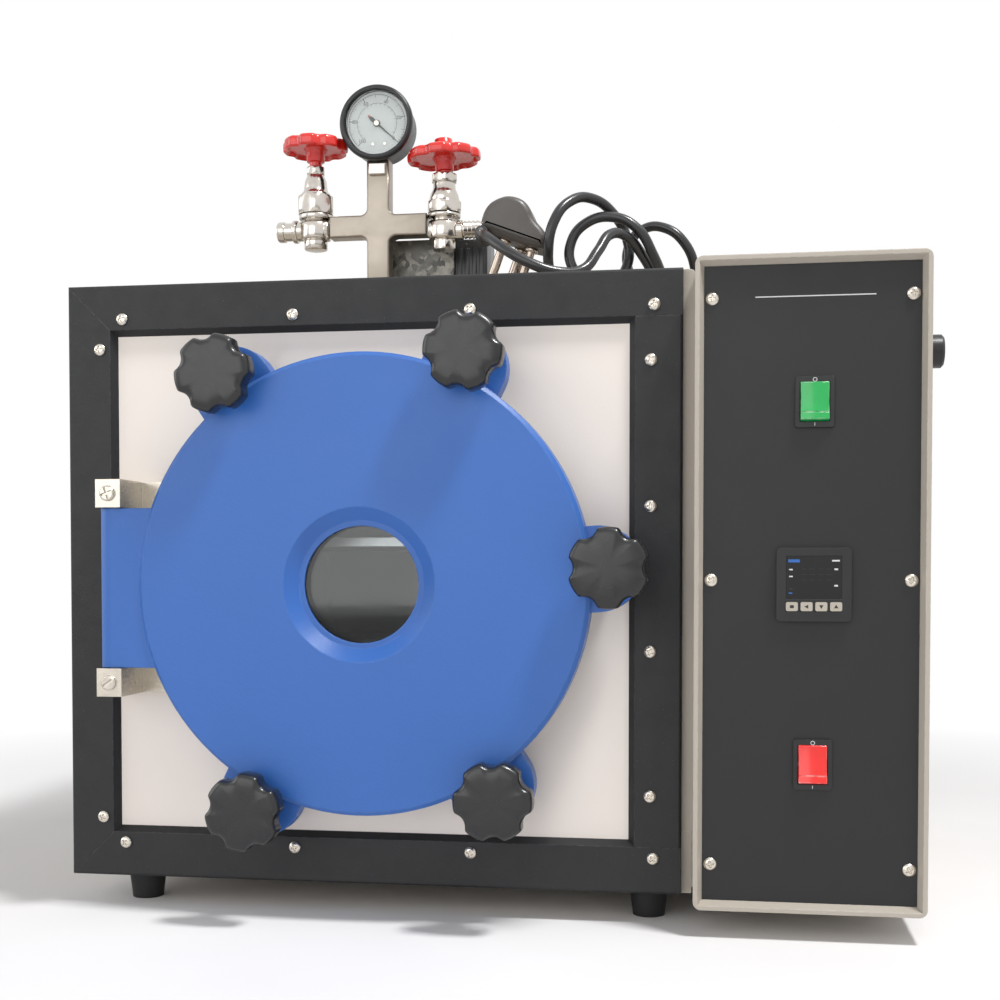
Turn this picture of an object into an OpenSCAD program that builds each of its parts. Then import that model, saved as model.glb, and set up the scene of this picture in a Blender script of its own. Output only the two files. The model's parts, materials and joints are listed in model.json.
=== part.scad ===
// Bench vacuum oven: a round chamber in a sheet-metal case, a hinged door with five screw clamps,
// a vacuum manifold with two valves and a gauge on top, and a control box on the right-hand side.
// Millimetres. X runs to the right, Y to the back and Z up; the oven stands on Z = 0.

/* [Case] */
// Depth of the case behind the front frame
case_d = 423; // [390:1:520]
// How much wider the front frame is than the case
frame_wider = 4; // [0:0.5:8]
// How far the case's right-hand side lies beyond the frame
case_step = 8; // [2:0.5:12]
// Free height between the door's edge and the rails above and below it
door_room = 18.5; // [16:0.5:40]
// Thickness of the case's sheet metal
sheet = 1.5; // [1:0.1:2.5]
// Outer radius of the case's bent edges
bend_r = 4; // [3:0.5:8]
// Width of the case's front flange, which carries the frame and the front panel
flange_w = 40; // [36:1:44]

/* [Feet] */
// Height of a rubber foot
foot_h = 20; // [12:1:40]
// Diameter of a foot at the case
foot_top_d = 26; // [20:1:40]
// Diameter of a foot at the table
foot_base_d = 21; // [14:1:30]
// Distance of a foot's middle from the case's side
foot_inset = 30; // [22:1:60]

/* [Front frame] */
// Width of a rail's flat face
rail_w = 30; // [26:1:31]
// Width of the bevel along a rail's inner edge
lip_w = 4; // [2:0.5:6]
// How far the front panel lies behind the frame's face
lip_d = 5; // [3:0.5:8]
// Thickness of the rails' sheet metal
rail_sheet = 1.5; // [1:0.1:2]
// Thickness of the front panel
panel_t = 2; // [1.5:0.1:3]

/* [Chamber] */
// Inner diameter of the vacuum chamber
chamber_d = 225; // [200:1:230]
// Inner length of the vacuum chamber
chamber_l = 300; // [250:1:340]
// Thickness of the chamber's wall
chamber_wall = 4; // [3:0.5:5]
// Thickness of the chamber's rear plate
rear_plate_t = 6; // [5:0.5:10]
// How far the chamber's axis lies to the right of the frame's middle
chamber_offset = 4.5; // [0:0.5:8]
// How far the chamber's axis lies below the case's middle
chamber_drop = 1; // [0:0.5:3]
// Width of the flange's sealing face round the chamber's mouth
flange_face = 28.5; // [25:0.5:35]
// How far the flange stands out in front of the frame's face
port_out = 12; // [8:0.5:16]
// Thickness of the flange's ears behind the front panel
ear_t = 12; // [9:0.5:16]
// Radius of an ear's end
ear_r = 16; // [13:0.5:18]
// Thickness of a shelf's sheet metal
shelf_t = 1.5; // [1:0.1:3]

/* [Door] */
// How far the door reaches beyond the flange all round
door_lap = 6.5; // [4:0.5:12]
// Thickness of the door
door_t = 22; // [20:0.5:28]
// Gap between the flange and the closed door
door_gap = 2; // [1.5:0.1:3]
// Chamfer round the door's front edge
door_chamfer = 2.5; // [1:0.5:4]
// Width of a clamp lug
lug_w = 54; // [44:1:58]
// Thickness of a clamp lug
lug_t = 14; // [10:0.5:16]
// How far a lug's face lies behind the door's face
lug_drop = 6; // [4:0.5:8]

/* [Window] */
// Diameter of the dished recess in the door's face
recess_d = 99; // [94:1:110]
// Diameter of the clear view through the window
view_d = 75; // [60:1:78]
// Diameter of the glass disc
glass_d = 91; // [85:0.5:96]
// Thickness of the glass disc
glass_t = 8; // [5:0.5:9]

/* [Hinge] */
// Distance of the hinge pin from the door's edge
hinge_out = 19.3; // [18:0.1:26]
// Gap between the hinge brackets and the frame's left rail
hinge_gap = 2.2; // [1:0.1:8]
// Radius of the door's hinge barrel
barrel_r = 10; // [8:0.5:10.5]
// Height of the hinge barrel
barrel_h = 104; // [90:1:120]
// How far the hinge's middle lies below the door's middle
hinge_drop = 2.5; // [0:0.5:6]
// Diameter of the hinge pin
pin_d = 8; // [6:0.5:9]
// Width of a hinge bracket's block
bracket_w = 17; // [14:0.5:18]
// Height of a hinge bracket
bracket_h = 18.4; // [14:0.2:24]

/* [Clamps] */
// How far the clamp studs stand outside the door's edge
clamp_out = 12.5; // [11:0.5:14]
// Angle by which the right-hand clamp stands above the horizontal
clamp_turn = 3.8; // [0:0.1:6]
// Diameter of a star knob
knob_d = 50; // [40:1:54]
// Height of a star knob
knob_h = 20; // [16:0.5:26]
// Diameter of a clamp stud
stud_d = 10; // [8:0.5:12]
// How far a clamp screws in from its backed-off rest to tight
clamp_travel = 8; // [6:0.5:9]
// Diameter of the washer under a star knob
washer_d = 22; // [18:0.5:26]
// Thickness of that washer
washer_t = 2; // [1.5:0.1:3]

/* [Manifold] */
// Depth of the manifold's middle behind the frame's face
manifold_y = 100; // [90:1:115]
// How far the manifold's stem lies to the left of the frame's middle
manifold_x = 14; // [10:1:20]
// Width of the manifold's stem
stem_w = 16.5; // [14:0.5:20]
// Depth of the manifold's bars, front to back
bar_depth = 14; // [12:0.5:16]
// Height of the arms' middle above the case
arm_z = 56.5; // [50:0.5:62]
// Height of an arm
arm_h = 15.5; // [13:0.5:17]
// Length of the left arm from the stem's middle
left_arm = 36; // [32:0.5:42]
// Length of the right arm from the stem's middle
right_arm = 35.5; // [32:0.5:42]
// Diameter of the vent valve's handwheel
vent_wheel_d = 47.5; // [40:0.5:50]
// Diameter of the vacuum valve's handwheel
vacuum_wheel_d = 53; // [46:0.5:56]
// Outer diameter of the suction pipe below the manifold
pipe_d = 14; // [10:0.5:15]

/* [Gauge] */
// Diameter of the gauge's bezel
gauge_d = 53.5; // [48:0.5:58]
// Depth of the gauge's case
gauge_depth = 28; // [24:0.5:36]
// Height of the gauge's middle above the case
gauge_z = 128.5; // [126:0.5:136]

/* [Control box] */
// Width of the control box
box_w = 141; // [130:1:160]
// How much taller the control box is than the case
box_taller = 3; // [0:0.5:12]
// How far the control box reaches below the case's bottom
box_drop = 2.5; // [0:0.5:8]
// How far the control box stands in front of the frame's face
box_out = 28; // [20:1:34]
// Width of the trim round the control panel
trim_w = 5.5; // [4:0.5:8]
// How far the control panel lies behind the trim's face
trim_d = 6; // [3:0.5:8]

/* [Controls] */
// Width of a rocker switch's bezel
switch_w = 23.3; // [20:0.1:28]
// Height of a rocker switch's bezel
switch_h = 31; // [26:0.5:36]
// Width and height of the temperature controller's bezel
meter_w = 45; // [42:0.5:48]
// Depth of the temperature controller behind the panel
meter_depth = 80; // [60:1:110]
// Diameter of the fuse holder's flange
fuse_d = 21; // [16:0.5:26]
// How far the fuse holder stands out of the box's side
fuse_out = 13; // [8:0.5:20]

/* [Mains cord] */
// Diameter of the mains cord
cord_d = 7; // [6:0.5:8]

/* [Hidden] */

$fn = 64;
eps = 0.01;

// Clearances: of a turning or sliding fit, of a piece dropped into its seat, and of a free hole
running = 0.05;
seat_gap = 0.3;
free_gap = 0.5;

// From the chamber outwards: flange, door, clamps and hinge, and the frame and case round them
port_d = chamber_d + 2 * flange_face;
door_d = port_d + 2 * door_lap;
clamp_circle_r = door_d / 2 + clamp_out;
hinge_reach = door_d / 2 + hinge_out;
rail_in = rail_w + lip_w;
frame_w = 2 * (hinge_reach - chamber_offset + bracket_w / 2 + hinge_gap + rail_in);
case_w = frame_w - frame_wider;
case_h = door_d + 2 * (door_room + rail_in);
case_offset = frame_w / 2 + case_step - case_w / 2;

// Heights of the case's bottom and top, and of the door's middle
case_z = foot_h;
case_top = case_z + case_h;
door_z = case_z + case_h / 2 - chamber_drop;

// The frame's middle before the whole oven is shifted to its origin is X = 0, its face is Y = 0
frame_d = lip_d + panel_t;
case_left = case_offset - case_w / 2;
case_right = case_offset + case_w / 2;
case_back = frame_d + case_d;
box_left = case_right;
box_right = box_left + box_w;
box_h = case_h + box_taller;
box_bottom = case_z - box_drop;
box_top = box_bottom + box_h;
box_x = (box_left + box_right) / 2;
box_z = box_bottom + box_h / 2;
panel_y = -box_out + trim_d;

// Rails: the frame is as tall as the case
frame_h = case_h;
frame_z = case_z + frame_h / 2;
rail_round = 2;

// Screws: pan heads, with the holes for their shanks
head_d = 8;
head_h = 2.4;
head_round = 1.6;
shank_d = 4;
screw_hole_d = shank_d + 2 * running;
screw_in = 23;
// Places of the frame's screws, from the frame's edges: along the long rails, and up the side rails
function spread(from, to, count) = [for (i = [0:count - 1]) from + (to - from) * i / (count - 1)];
row_left = 39;
row_right = 19;
row_xs = spread(row_left - frame_w / 2, frame_w / 2 - row_right, 4);
left_low = 40;
left_high = 43;
left_zs = spread(left_low - frame_h / 2, frame_h / 2 - left_high, 2);
right_low = 63;
right_high = 58;
right_zs = spread(right_low - frame_h / 2, frame_h / 2 - right_high, 4);
side_screw_l = 23;
side_screw_r = 20;
// Places of the control panel's screws, from the box's sides, bottom, middle and top
panel_screw_side = 10.5;
panel_screw_low = 28;
panel_screw_mid = 3;
panel_screw_high = 25.5;
panel_screw_l = 6;

// Door and clamps: distances in front of the frame's face
port_face = port_out;
door_back = port_face + door_gap;
door_front = door_back + door_t;
lug_front = door_front - lug_drop;
lug_back = lug_front - lug_t;
lug_end_r = lug_w / 2;
lug_in = 8;
lug_mid_r = clamp_circle_r - lug_in;
washer_back = lug_front + clamp_travel + 2 * running;
knob_back = washer_back + washer_t + running;
knob_front = knob_back + knob_h;
clamp_angles = [for (turn = [120, 60, 0, -60, -120]) turn + clamp_turn];
// The boss on each ear passes through the front panel, and the stud's tip rests just in front of it
boss_d = 16;
boss_front = -2;
stud_tip = boss_front + free_gap;

// Seal between flange and door, in the middle of the sealing face
groove_w = 8;
groove_in_r = chamber_d / 2 + (flange_face - groove_w) / 2 - 0.75;
groove_deep = 5;

// Hinge
pin_x = chamber_offset - hinge_reach;
pin_y = door_back + barrel_r;
hinge_z = door_z - hinge_drop;
bracket_front = pin_y + 14;
upper_bracket_z = hinge_z + barrel_h / 2 + 0.4;
lower_bracket_z = hinge_z - barrel_h / 2 - 0.4 - bracket_h;
tab_w = 18;
tab_t = 8;

// Chamber
chamber_r = chamber_d / 2;
shell_r = chamber_r + chamber_wall;
chamber_back = -port_out + chamber_l;
// Heater bands round the wall, and the glass-wool jacket round them
band_t = 3;
band_w = 56;
band_first = 37;
band_last = 72;
band_ys = spread(band_first, chamber_back - band_last, 3);
jacket_gap = 30;
jacket_wall = 34;
jacket_in_r = shell_r + band_t + seat_gap;
jacket_r = case_h / 2 - jacket_gap;
jacket_front = frame_d + ear_t + 4;
jacket_back = chamber_back + rear_plate_t + jacket_wall;
// Cradles below the jacket
cradle_w = 180;
cradle_t = 3;
cradle_in = 60;
cradle_ys = [cradle_in, chamber_back - cradle_in / 2];
cradle_top = case_z + case_h / 4;
// Shelves: heights from the chamber's axis, the runners below them, and the holes in them
shelf_zs = [-45, 25];
runner = 6;
runner_w = 12;
shelf_play = 3;
shelf_half_ws = [for (z = shelf_zs) sqrt(chamber_r * chamber_r - (abs(z) + runner) * (abs(z) + runner)) - shelf_play];
shelf_start = 16;
shelf_l = 234;
shelf_lip = 6;
shelf_pitch = 34;
shelf_hole_d = 14;
// Temperature probe: its place from the chamber's axis, and its reach into the chamber and behind it
probe_x = 42;
probe_up = 62;
probe_r = 4;
probe_in = 48;
probe_out = 22;
probe_nut = 13;
probe_nut_h = 8;

// Manifold: its round foot on the roof, the fillets of the cross, and the square lock nut on the stem
foot_d = stem_w + 18;
manifold_foot_h = 6;
cross_fillet = 5;
lock_w = 12.6;
lock_h = 8.6;
lock_t = 2.5;
lock_drop = 11;
stem_top = gauge_z - gauge_d / 2 + 1.5;
neck_w = 14;
neck_t = 12;
// Valves: the block on the arm's end, the cap below it, the collar above it, and the nozzle
valve_w = 24;
valve_depth = 16;
valve_h = 13.2;
valve_cap_h = 7.4;
valve_cap_in = 3.5;
collar_h = 5;
collar_in = 2;
nozzle_l = 16;
nozzle_wall = 2.5;
packing_h = 6;
spindle_r = 4.5;
spindle_l = 26;
hub_r = 6.5;
hub_l = 7;
left_valve_x = -left_arm - valve_w / 2;
right_valve_x = right_arm + valve_w / 2;
// Across-flats sizes, radii and heights of the two valves' bonnets, necks and packing nuts
vent_nozzle_r = 7.4;
vent_bonnet = 25;
vent_bonnet_h = 13.4;
vent_neck_r = 8.8;
vent_neck_h = 15.5;
vent_packing = 12.6;
vent_open = 3.15;
vacuum_drop = 3;
vacuum_nozzle_r = 6.5;
vacuum_bonnet = 23.5;
vacuum_bonnet_h = 17.6;
vacuum_neck_r = 8;
vacuum_neck_h = 4.4;
vacuum_packing = 17.6;
vacuum_open = 1.95;
// Height of a valve block's bottom and of its bonnet's bottom, above the roof
function valve_low(drop) = arm_z - arm_h / 2 - drop;
function bonnet_low(drop) = max(valve_low(drop) + valve_h + collar_h, arm_z + arm_h / 2 + seat_gap);
vent_wheel_low = bonnet_low(0) + vent_bonnet_h + vent_neck_h + packing_h + vent_open + hub_l;
vacuum_wheel_low = bonnet_low(vacuum_drop) + vacuum_bonnet_h + vacuum_neck_h + packing_h + vacuum_open + hub_l;
// Handwheels: thickness, flutes, and the height of the cap on the spindle's end
vent_wheel_t = 8.5;
vacuum_wheel_t = 7.5;
wheel_flutes = 8;
wheel_flute_r = 5.8;
wheel_flute_deep = 2.4;
vent_cap_h = 2;
vacuum_cap_h = 8.5;
// Galvanised terminal box and the black block beside it
terminal_x = -10;
terminal_w = 47;
terminal_d = 40;
terminal_h = 50.5;
end_block_w = 24;
end_block_in = 3;

// Gauge: places behind the bezel's front
dial_r = gauge_d / 2 - 3.9;
dial_back = -6.8;
glass_front = -2.6;
needle_rest = -42;

// Window: how deep its dished recess is, the lip in front of the glass, and the glass's front
recess_deep = 7;
glass_lip = 2;
pocket_front = door_front - recess_deep - glass_lip;

// Flutes round a star knob, and how its lobes stand, from the upper left round to the lower left
knob_flutes = 6;
knob_flute_r = 8.6;
knob_flute_deep = 3.5;
knob_turns = [12, 52, 30, 2, 20];
knob_hub_h = 5;

// Control panel items
box_round = 5;
control_x = box_x + 2;
mains_up = 111.8;
meter_up = 0.4;
heating_down = 110.2;
mains_z = box_z + mains_up;
meter_z = box_z + meter_up;
heating_z = box_z - heating_down;
rocker_w = 17.4;
rocker_h = 22.8;
rocker_tilt = 8;
rocker_axis = 0;
pocket_r = rocker_h / 2 + 0.6;
window_w = 33.2;
window_h = 26.2;
window_up = 4.4;
bezel_t = 2;
meter_bezel_t = 4;
button_w = 7.2;
button_h = 5.5;
button_pitch = 8.8;
button_drop = 13.4;
button_proud = 1.2;
fuse_y = 20;
fuse_drop = 54.5;
fuse_body_r = 6;
fuse_body_l = 32;
control_panel_t = 2;

// Gland through which the mains cord leaves the back of the control box
gland_x = box_x;
gland_drop = 32;
gland_z = box_top - gland_drop;
gland_out = 24;
gland_r = 7;
gland_nut = 20;
gland_nut_h = 6;

// The whole oven is shifted so that the middle of its footprint is the origin
shift_x = -(box_right + fuse_out - frame_w / 2) / 2;
shift_y = -(case_back + gland_out - knob_front) / 2;

// Mains cord: the hand-laid route from the gland to the coil, and from the coil to the plug
cord_r = cord_d / 2;
cord_sides = 8;
tail_route = [
  [204.5, 257, 388.5], [204.5, 273, 388.5], [203, 289, 389.5], [198, 303, 394], [188, 311, 403], [173, 313, 415],
  [155, 307, 426], [137, 293, 433], [120, 273, 434.5], [104, 250, 431], [91, 225, 427], [80, 199, 424.5],
  [71, 173, 424], [63, 146, 424], [56, 119, 424.5], [52, 95, 428.5], [50, 74, 435], [50, 54, 441.5],
  [50, 35, 445]
];
main_route = [
  [50, 35, 423.5], [53.5, 15, 424], [68, 0.5, 424], [87.5, -7.5, 424], [106.5, -17, 424], [120.5, -32.5, 424.5],
  [129, -51, 430], [131, -66.5, 444], [124, -74, 462], [109.5, -73.5, 474], [93.5, -67.5, 475], [82.5, -60, 464.5],
  [82.5, -55.5, 447.5], [92, -58, 432], [105.5, -69.5, 424.5], [113, -88.5, 424], [110, -108.5, 430], [103.5, -122, 444.5],
  [93, -127, 461.5], [76, -127.5, 470], [58, -128, 466.5], [47.5, -130, 452.5], [49, -131.5, 435.5], [60.5, -129, 425],
  [75, -123, 426], [85, -116, 438.5], [85, -113.5, 457.5], [75.5, -119.5, 474.5], [62, -132, 482], [48.5, -146, 477],
  [38.5, -154.5, 461.5], [34.5, -152, 442.5], [35, -139, 428], [37.5, -119, 423.5], [41, -97.5, 424.5], [50, -79, 425],
  [67.5, -69, 424], [87, -71.5, 423.5], [100, -85, 426], [102.5, -103, 433], [95.5, -117, 446], [85.5, -130, 456],
  [75.5, -145, 454], [68.5, -156, 441], [59.5, -166, 427], [44, -177, 423.5], [25, -181, 429.5], [8, -176.5, 440],
  [-5, -165, 451], [-12, -147, 458.5]
];
plug_at = [92.6, 66];
plug_lean = 20;
plug_face = 29;
plug_deep = 34;
plug_pitch = 20;
plug_row = 6;
plug_pin_d = 6;
earth_row = 11;
earth_pin_d = 7;
pin_chamfer = 0.8;
pin_tip_r = plug_pin_d / 2 - pin_chamfer;
plug_exit = [-23.6, -16, 38.5];
plug_mouth = [plug_at[0], plug_at[1], case_top] + plug_exit;
sleeve_l = 18;
coil_mid = [91, 232];
coil_r = 40;
coil_turns = 4;
coil_pitch = cord_d + 0.2;
coil_web = 2.4;

// ---------- Shared shapes ----------

// Puts the oven's own places into the part's frame
module stand() translate([shift_x, shift_y, 0]) children();

// Turns a shape so that its Z points to the front, at a place across the frame's face
module facing_front(x, z) translate([x, 0, z]) rotate([90, 0, 0]) children();

// A box given by its lowest and highest corner
module block(low, high) translate(low) cube(high - low);

// A rectangle with round corners, made of true arcs
module round_rect(w, h, r) {
  square([w - 2 * r, h], center = true);
  square([w, h - 2 * r], center = true);
  for (x = [-1, 1], y = [-1, 1])
    translate([x * (w / 2 - r), y * (h / 2 - r)]) circle(r);
}

function arc(cx, cy, r, from, to, steps) =
  [for (i = [0:steps]) [cx + r * cos(from + (to - from) * i / steps), cy + r * sin(from + (to - from) * i / steps)]];

// A ring round Z
module ring(r_out, r_in, h) difference() {
  cylinder(h, r = r_out);
  translate([0, 0, -1]) cylinder(h + 2, r = r_in);
}

// A hexagonal nut's body, given across its flats
module hexagon(flats, h) cylinder(h, r = flats / sqrt(3), $fn = 6);

// Outline of a fluted grip: a disc with round flutes, each centred between two lobes
module fluted(r, flutes, flute_r, deep) difference() {
  circle(r);
  for (i = [0:flutes - 1]) rotate(360 * (i + 0.5) / flutes) translate([r + flute_r - deep, 0]) circle(flute_r);
}

// A disc whose edges are rounded off, a little wider than r so that only the edges trim a grip
module softened_disc(r, h) rotate_extrude() polygon(concat([[0, 0]],
  arc(r - 2, 2.5, 2.5, 270, 360, 4), arc(r - 2, h - 2.5, 2.5, 0, 90, 4), [[0, h]]));

// ---------- Case ----------

// Outlines of the flange's ears and bosses, seen from the front
module at_clamps() for (a = clamp_angles) rotate(a) translate([clamp_circle_r, 0]) children();

module ears(extra) {
  circle(port_d / 2 + extra);
  for (a = clamp_angles) rotate(a) {
    translate([0, -ear_r - extra]) square([clamp_circle_r, 2 * (ear_r + extra)]);
    translate([clamp_circle_r, 0]) circle(ear_r + extra);
  }
}

// Places of the frame's screws, seen from the front and measured from the frame's middle
module at_row_screws(z) for (x = row_xs) translate([x, z]) children();
module at_side_screws() {
  for (z = left_zs) translate([-frame_w / 2 + side_screw_l, z]) children();
  for (z = right_zs) translate([frame_w / 2 - side_screw_r, z]) children();
}

module case_outline(inset) translate([case_offset, 0])
  round_rect(case_w - 2 * inset, case_h - 2 * inset, bend_r - inset);

// The front flange's outline, with room for the chamber flange's ears
module flange_outline() difference() {
  case_outline(sheet / 2);
  translate([case_offset, 0]) square([case_w - 2 * flange_w, case_h - 2 * flange_w], center = true);
  translate([chamber_offset, door_z - frame_z]) ears(1);
  at_row_screws(frame_h / 2 - screw_in) circle(d = screw_hole_d);
  at_row_screws(screw_in - frame_h / 2) circle(d = screw_hole_d);
  at_side_screws() circle(d = screw_hole_d);
}

module cabinet_shell() color("#c9c1b4") stand() difference() {
  facing_front(0, frame_z) {
    translate([0, 0, -case_back]) linear_extrude(case_d) difference() {
      case_outline(0);
      case_outline(sheet);
      translate([case_offset, -case_h / 2]) square([case_w + 2, 2 * bend_r], center = true);
    }
    translate([0, 0, -frame_d - sheet]) linear_extrude(sheet) intersection() {
      flange_outline();
      translate([case_offset, flange_w / 2]) square([case_w, case_h - flange_w], center = true);
    }
  }
  suction_place() translate([0, 0, case_top - 5]) cylinder(10, d = pipe_d + free_gap);
}

module base_pan() color("#b9b2a6") stand() {
  w = case_w - 2 * sheet;
  front = frame_d;
  difference() {
    block([case_offset - w / 2, front, case_z], [case_offset + w / 2, case_back - sheet, case_z + 2 * bend_r]);
    block([case_offset - w / 2 + sheet, front + sheet, case_z + sheet],
          [case_offset + w / 2 - sheet, case_back + 1, case_z + 3 * bend_r]);
    block([case_offset - w / 2 - 1, front - 1, case_z + bend_r], [case_offset + w / 2 + 1, front + sheet, case_top]);
  }
  facing_front(0, frame_z) translate([0, 0, -frame_d - sheet]) linear_extrude(sheet) intersection() {
    flange_outline();
    translate([case_offset, -case_h / 2 + flange_w / 2]) square([w, flange_w], center = true);
  }
  // Cradles welded to the pan carry the insulated chamber
  for (y = cradle_ys) difference() {
    block([chamber_offset - cradle_w / 2, y, case_z + sheet], [chamber_offset + cradle_w / 2, y + cradle_t, cradle_top]);
    translate([chamber_offset, y - 1, door_z]) rotate([-90, 0, 0]) cylinder(cradle_t + 2, r = jacket_r + seat_gap / 2);
  }
}

module rear_panel() color("#c9c1b4") stand()
  facing_front(case_offset, frame_z) translate([0, 0, -case_back]) linear_extrude(sheet)
    round_rect(case_w - 2 * sheet, case_h - 2 * sheet, bend_r - sheet);

module front_panel() color("#efe9dc") stand() {
  w = frame_w - 2 * (side_screw_l + shank_d);
  h = frame_h - 2 * (screw_in + shank_d);
  facing_front(0, frame_z) translate([0, 0, -frame_d]) linear_extrude(panel_t) difference() {
    square([w, h], center = true);
    translate([chamber_offset, door_z - frame_z]) {
      circle(port_d / 2 + free_gap);
      at_clamps() circle(boss_d / 2 + free_gap);
    }
  }
}

// ---------- Front frame ----------

// A rail's section: X runs from the frame's outer edge inwards, Y to the back
module rail_section() {
  t = rail_sheet;
  polygon(concat(
    [[0, frame_d]],
    arc(rail_round, rail_round, rail_round, 180, 270, 6),
    [[rail_w, 0], [rail_in, lip_d], [rail_in - 1.3 * t, lip_d], [rail_w - 0.4 * t, t], [t, t], [t, frame_d]]
  ));
}

module rail(length) linear_extrude(length) rail_section();

// The region of one rail, seen from the front and measured from the frame's middle.
// The left corners are mitred; at the right the long rails run over the upright one.
module long_rail_region() {
  w = frame_w / 2;
  h = frame_h / 2;
  polygon([[-w, h], [w, h], [w, h - rail_w], [w - rail_w, h - rail_w],
           [w - rail_in, h - rail_in], [-w + rail_in, h - rail_in]]);
}

module left_rail_region() {
  w = frame_w / 2;
  h = frame_h / 2;
  polygon([[-w, -h], [-w, h], [-w + rail_in, h - rail_in], [-w + rail_in, rail_in - h]]);
}

module right_rail_region() {
  w = frame_w / 2;
  h = frame_h / 2;
  polygon([[w, rail_w - h], [w, h - rail_w], [w - rail_w, h - rail_w], [w - rail_in, h - rail_in],
           [w - rail_in, rail_in - h], [w - rail_w, rail_w - h]]);
}

module cut_to_region() facing_front(0, frame_z) translate([0, 0, -frame_d - 1]) linear_extrude(frame_d + 2) children();

module rail_screw_holes() facing_front(0, frame_z) translate([0, 0, -frame_d]) linear_extrude(frame_d + 1) {
  at_row_screws(frame_h / 2 - screw_in) circle(d = screw_hole_d);
  at_row_screws(screw_in - frame_h / 2) circle(d = screw_hole_d);
  at_side_screws() circle(d = screw_hole_d);
}

module lying_rail() {
  translate([-frame_w / 2, 0, frame_z + frame_h / 2]) rotate([0, 90, 0]) rail(frame_w);
  // The rail's end is folded shut where it runs over the upright
  translate([frame_w / 2 - rail_sheet, rail_sheet, frame_z + frame_h / 2 - rail_w])
    cube([rail_sheet, frame_d - rail_sheet, rail_w - rail_sheet]);
}

module frame_top_rail() color("#26272a") stand() difference() {
  intersection() {
    lying_rail();
    cut_to_region() long_rail_region();
  }
  rail_screw_holes();
}

module frame_bottom_rail() color("#26272a") stand() difference() {
  intersection() {
    translate([0, 0, 2 * frame_z]) mirror([0, 0, 1]) lying_rail();
    cut_to_region() mirror([0, 1]) long_rail_region();
  }
  rail_screw_holes();
}

module frame_left_rail() color("#26272a") stand() difference() {
  intersection() {
    translate([-frame_w / 2, 0, case_z]) rail(frame_h);
    cut_to_region() left_rail_region();
  }
  rail_screw_holes();
}

module frame_right_rail() color("#26272a") stand() difference() {
  intersection() {
    translate([frame_w / 2, 0, case_z]) mirror([1, 0, 0]) rail(frame_h);
    cut_to_region() right_rail_region();
  }
  rail_screw_holes();
}

// A pan-head screw that looks along +Z, with its shank below Z = 0
module pan_head_screw(shank_l) {
  translate([0, 0, -shank_l]) cylinder(shank_l + eps, d = shank_d);
  rotate_extrude() polygon(concat([[0, 0], [head_d / 2, 0]],
    arc(head_d / 2 - head_round, head_h - head_round, head_round, 15, 90, 5), [[0, head_h]]));
}

module at_panel_screws() for (side = [-1, 1], z = [panel_screw_low - box_h / 2, panel_screw_mid, box_h / 2 - panel_screw_high])
  translate([side * (box_w / 2 - panel_screw_side), z]) children();

module pan_head_screws() color("#c8c2b8") stand() {
  facing_front(0, frame_z) {
    at_row_screws(frame_h / 2 - screw_in) pan_head_screw(frame_d + sheet);
    at_row_screws(screw_in - frame_h / 2) pan_head_screw(frame_d + sheet);
    at_side_screws() pan_head_screw(frame_d + sheet);
  }
  at_box() translate([0, 0, -panel_y]) at_panel_screws() pan_head_screw(panel_screw_l);
}

module rubber_feet() color("#1b1b1c") stand()
  for (x = [case_left + foot_inset, case_right - foot_inset], y = [foot_inset, case_back - foot_inset])
    translate([x, y, 0]) cylinder(foot_h, d1 = foot_base_d, d2 = foot_top_d);

// ---------- Chamber ----------

// A shape whose Z runs from the frame's face to the back along the chamber's axis
module along_chamber() translate([chamber_offset, 0, door_z]) rotate([-90, 0, 0]) children();

module suction_place() translate([-manifold_x, manifold_y, 0]) children();

module chamber() color("#b4b6b8") stand() {
  difference() {
    along_chamber() {
      translate([0, 0, -port_out]) ring(shell_r, chamber_r, chamber_l);
      translate([0, 0, chamber_back]) cylinder(rear_plate_t, r = shell_r);
    }
    suction_place() translate([0, 0, door_z]) cylinder(shell_r, d = pipe_d - 4);
    probe_hole(probe_r + running);
  }
  // Runners welded to the wall carry the shelves
  intersection() {
    translate([chamber_offset, 0, door_z])
      for (i = [0, 1], side = [-1, 1])
        translate([side * (shelf_half_ws[i] + runner_w / 2), shelf_start, shelf_zs[i] - runner])
          translate([-runner_w, 0, 0]) cube([2 * runner_w, shelf_l, runner]);
    along_chamber() cylinder(chamber_l, r = chamber_r + eps);
  }
}

module chamber_flange() color("#a9acae") stand() difference() {
  union() {
    facing_front(chamber_offset, door_z) {
      translate([0, 0, -frame_d - ear_t]) linear_extrude(ear_t) ears(0);
      translate([0, 0, -frame_d - eps]) cylinder(port_face + frame_d + eps, d = port_d);
      at_clamps() translate([0, 0, -frame_d - eps]) cylinder(frame_d + boss_front + eps, d = boss_d);
    }
  }
  facing_front(chamber_offset, door_z) {
    translate([0, 0, -frame_d - ear_t - 1]) cylinder(port_face + frame_d + ear_t + 2, r = shell_r);
    at_clamps() translate([0, 0, -frame_d - ear_t - 1]) cylinder(frame_d + ear_t + 2, r = stud_d / 2 + running);
    translate([0, 0, port_face - groove_deep]) ring(groove_in_r + groove_w, groove_in_r, groove_deep + 1);
  }
}

module door_gasket() color("#b8493a") stand() facing_front(chamber_offset, door_z)
  translate([0, 0, port_face - groove_deep]) rotate_extrude() {
    out = groove_deep + door_gap - seat_gap;
    mid = groove_in_r + groove_w / 2;
    half = groove_w / 2 - 0.2;
    translate([mid - half, 0]) square([2 * half, out - half]);
    intersection() {
      translate([mid, out - half]) circle(half);
      translate([mid - half, out - half - eps]) square([2 * half, half + eps]);
    }
  }

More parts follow.
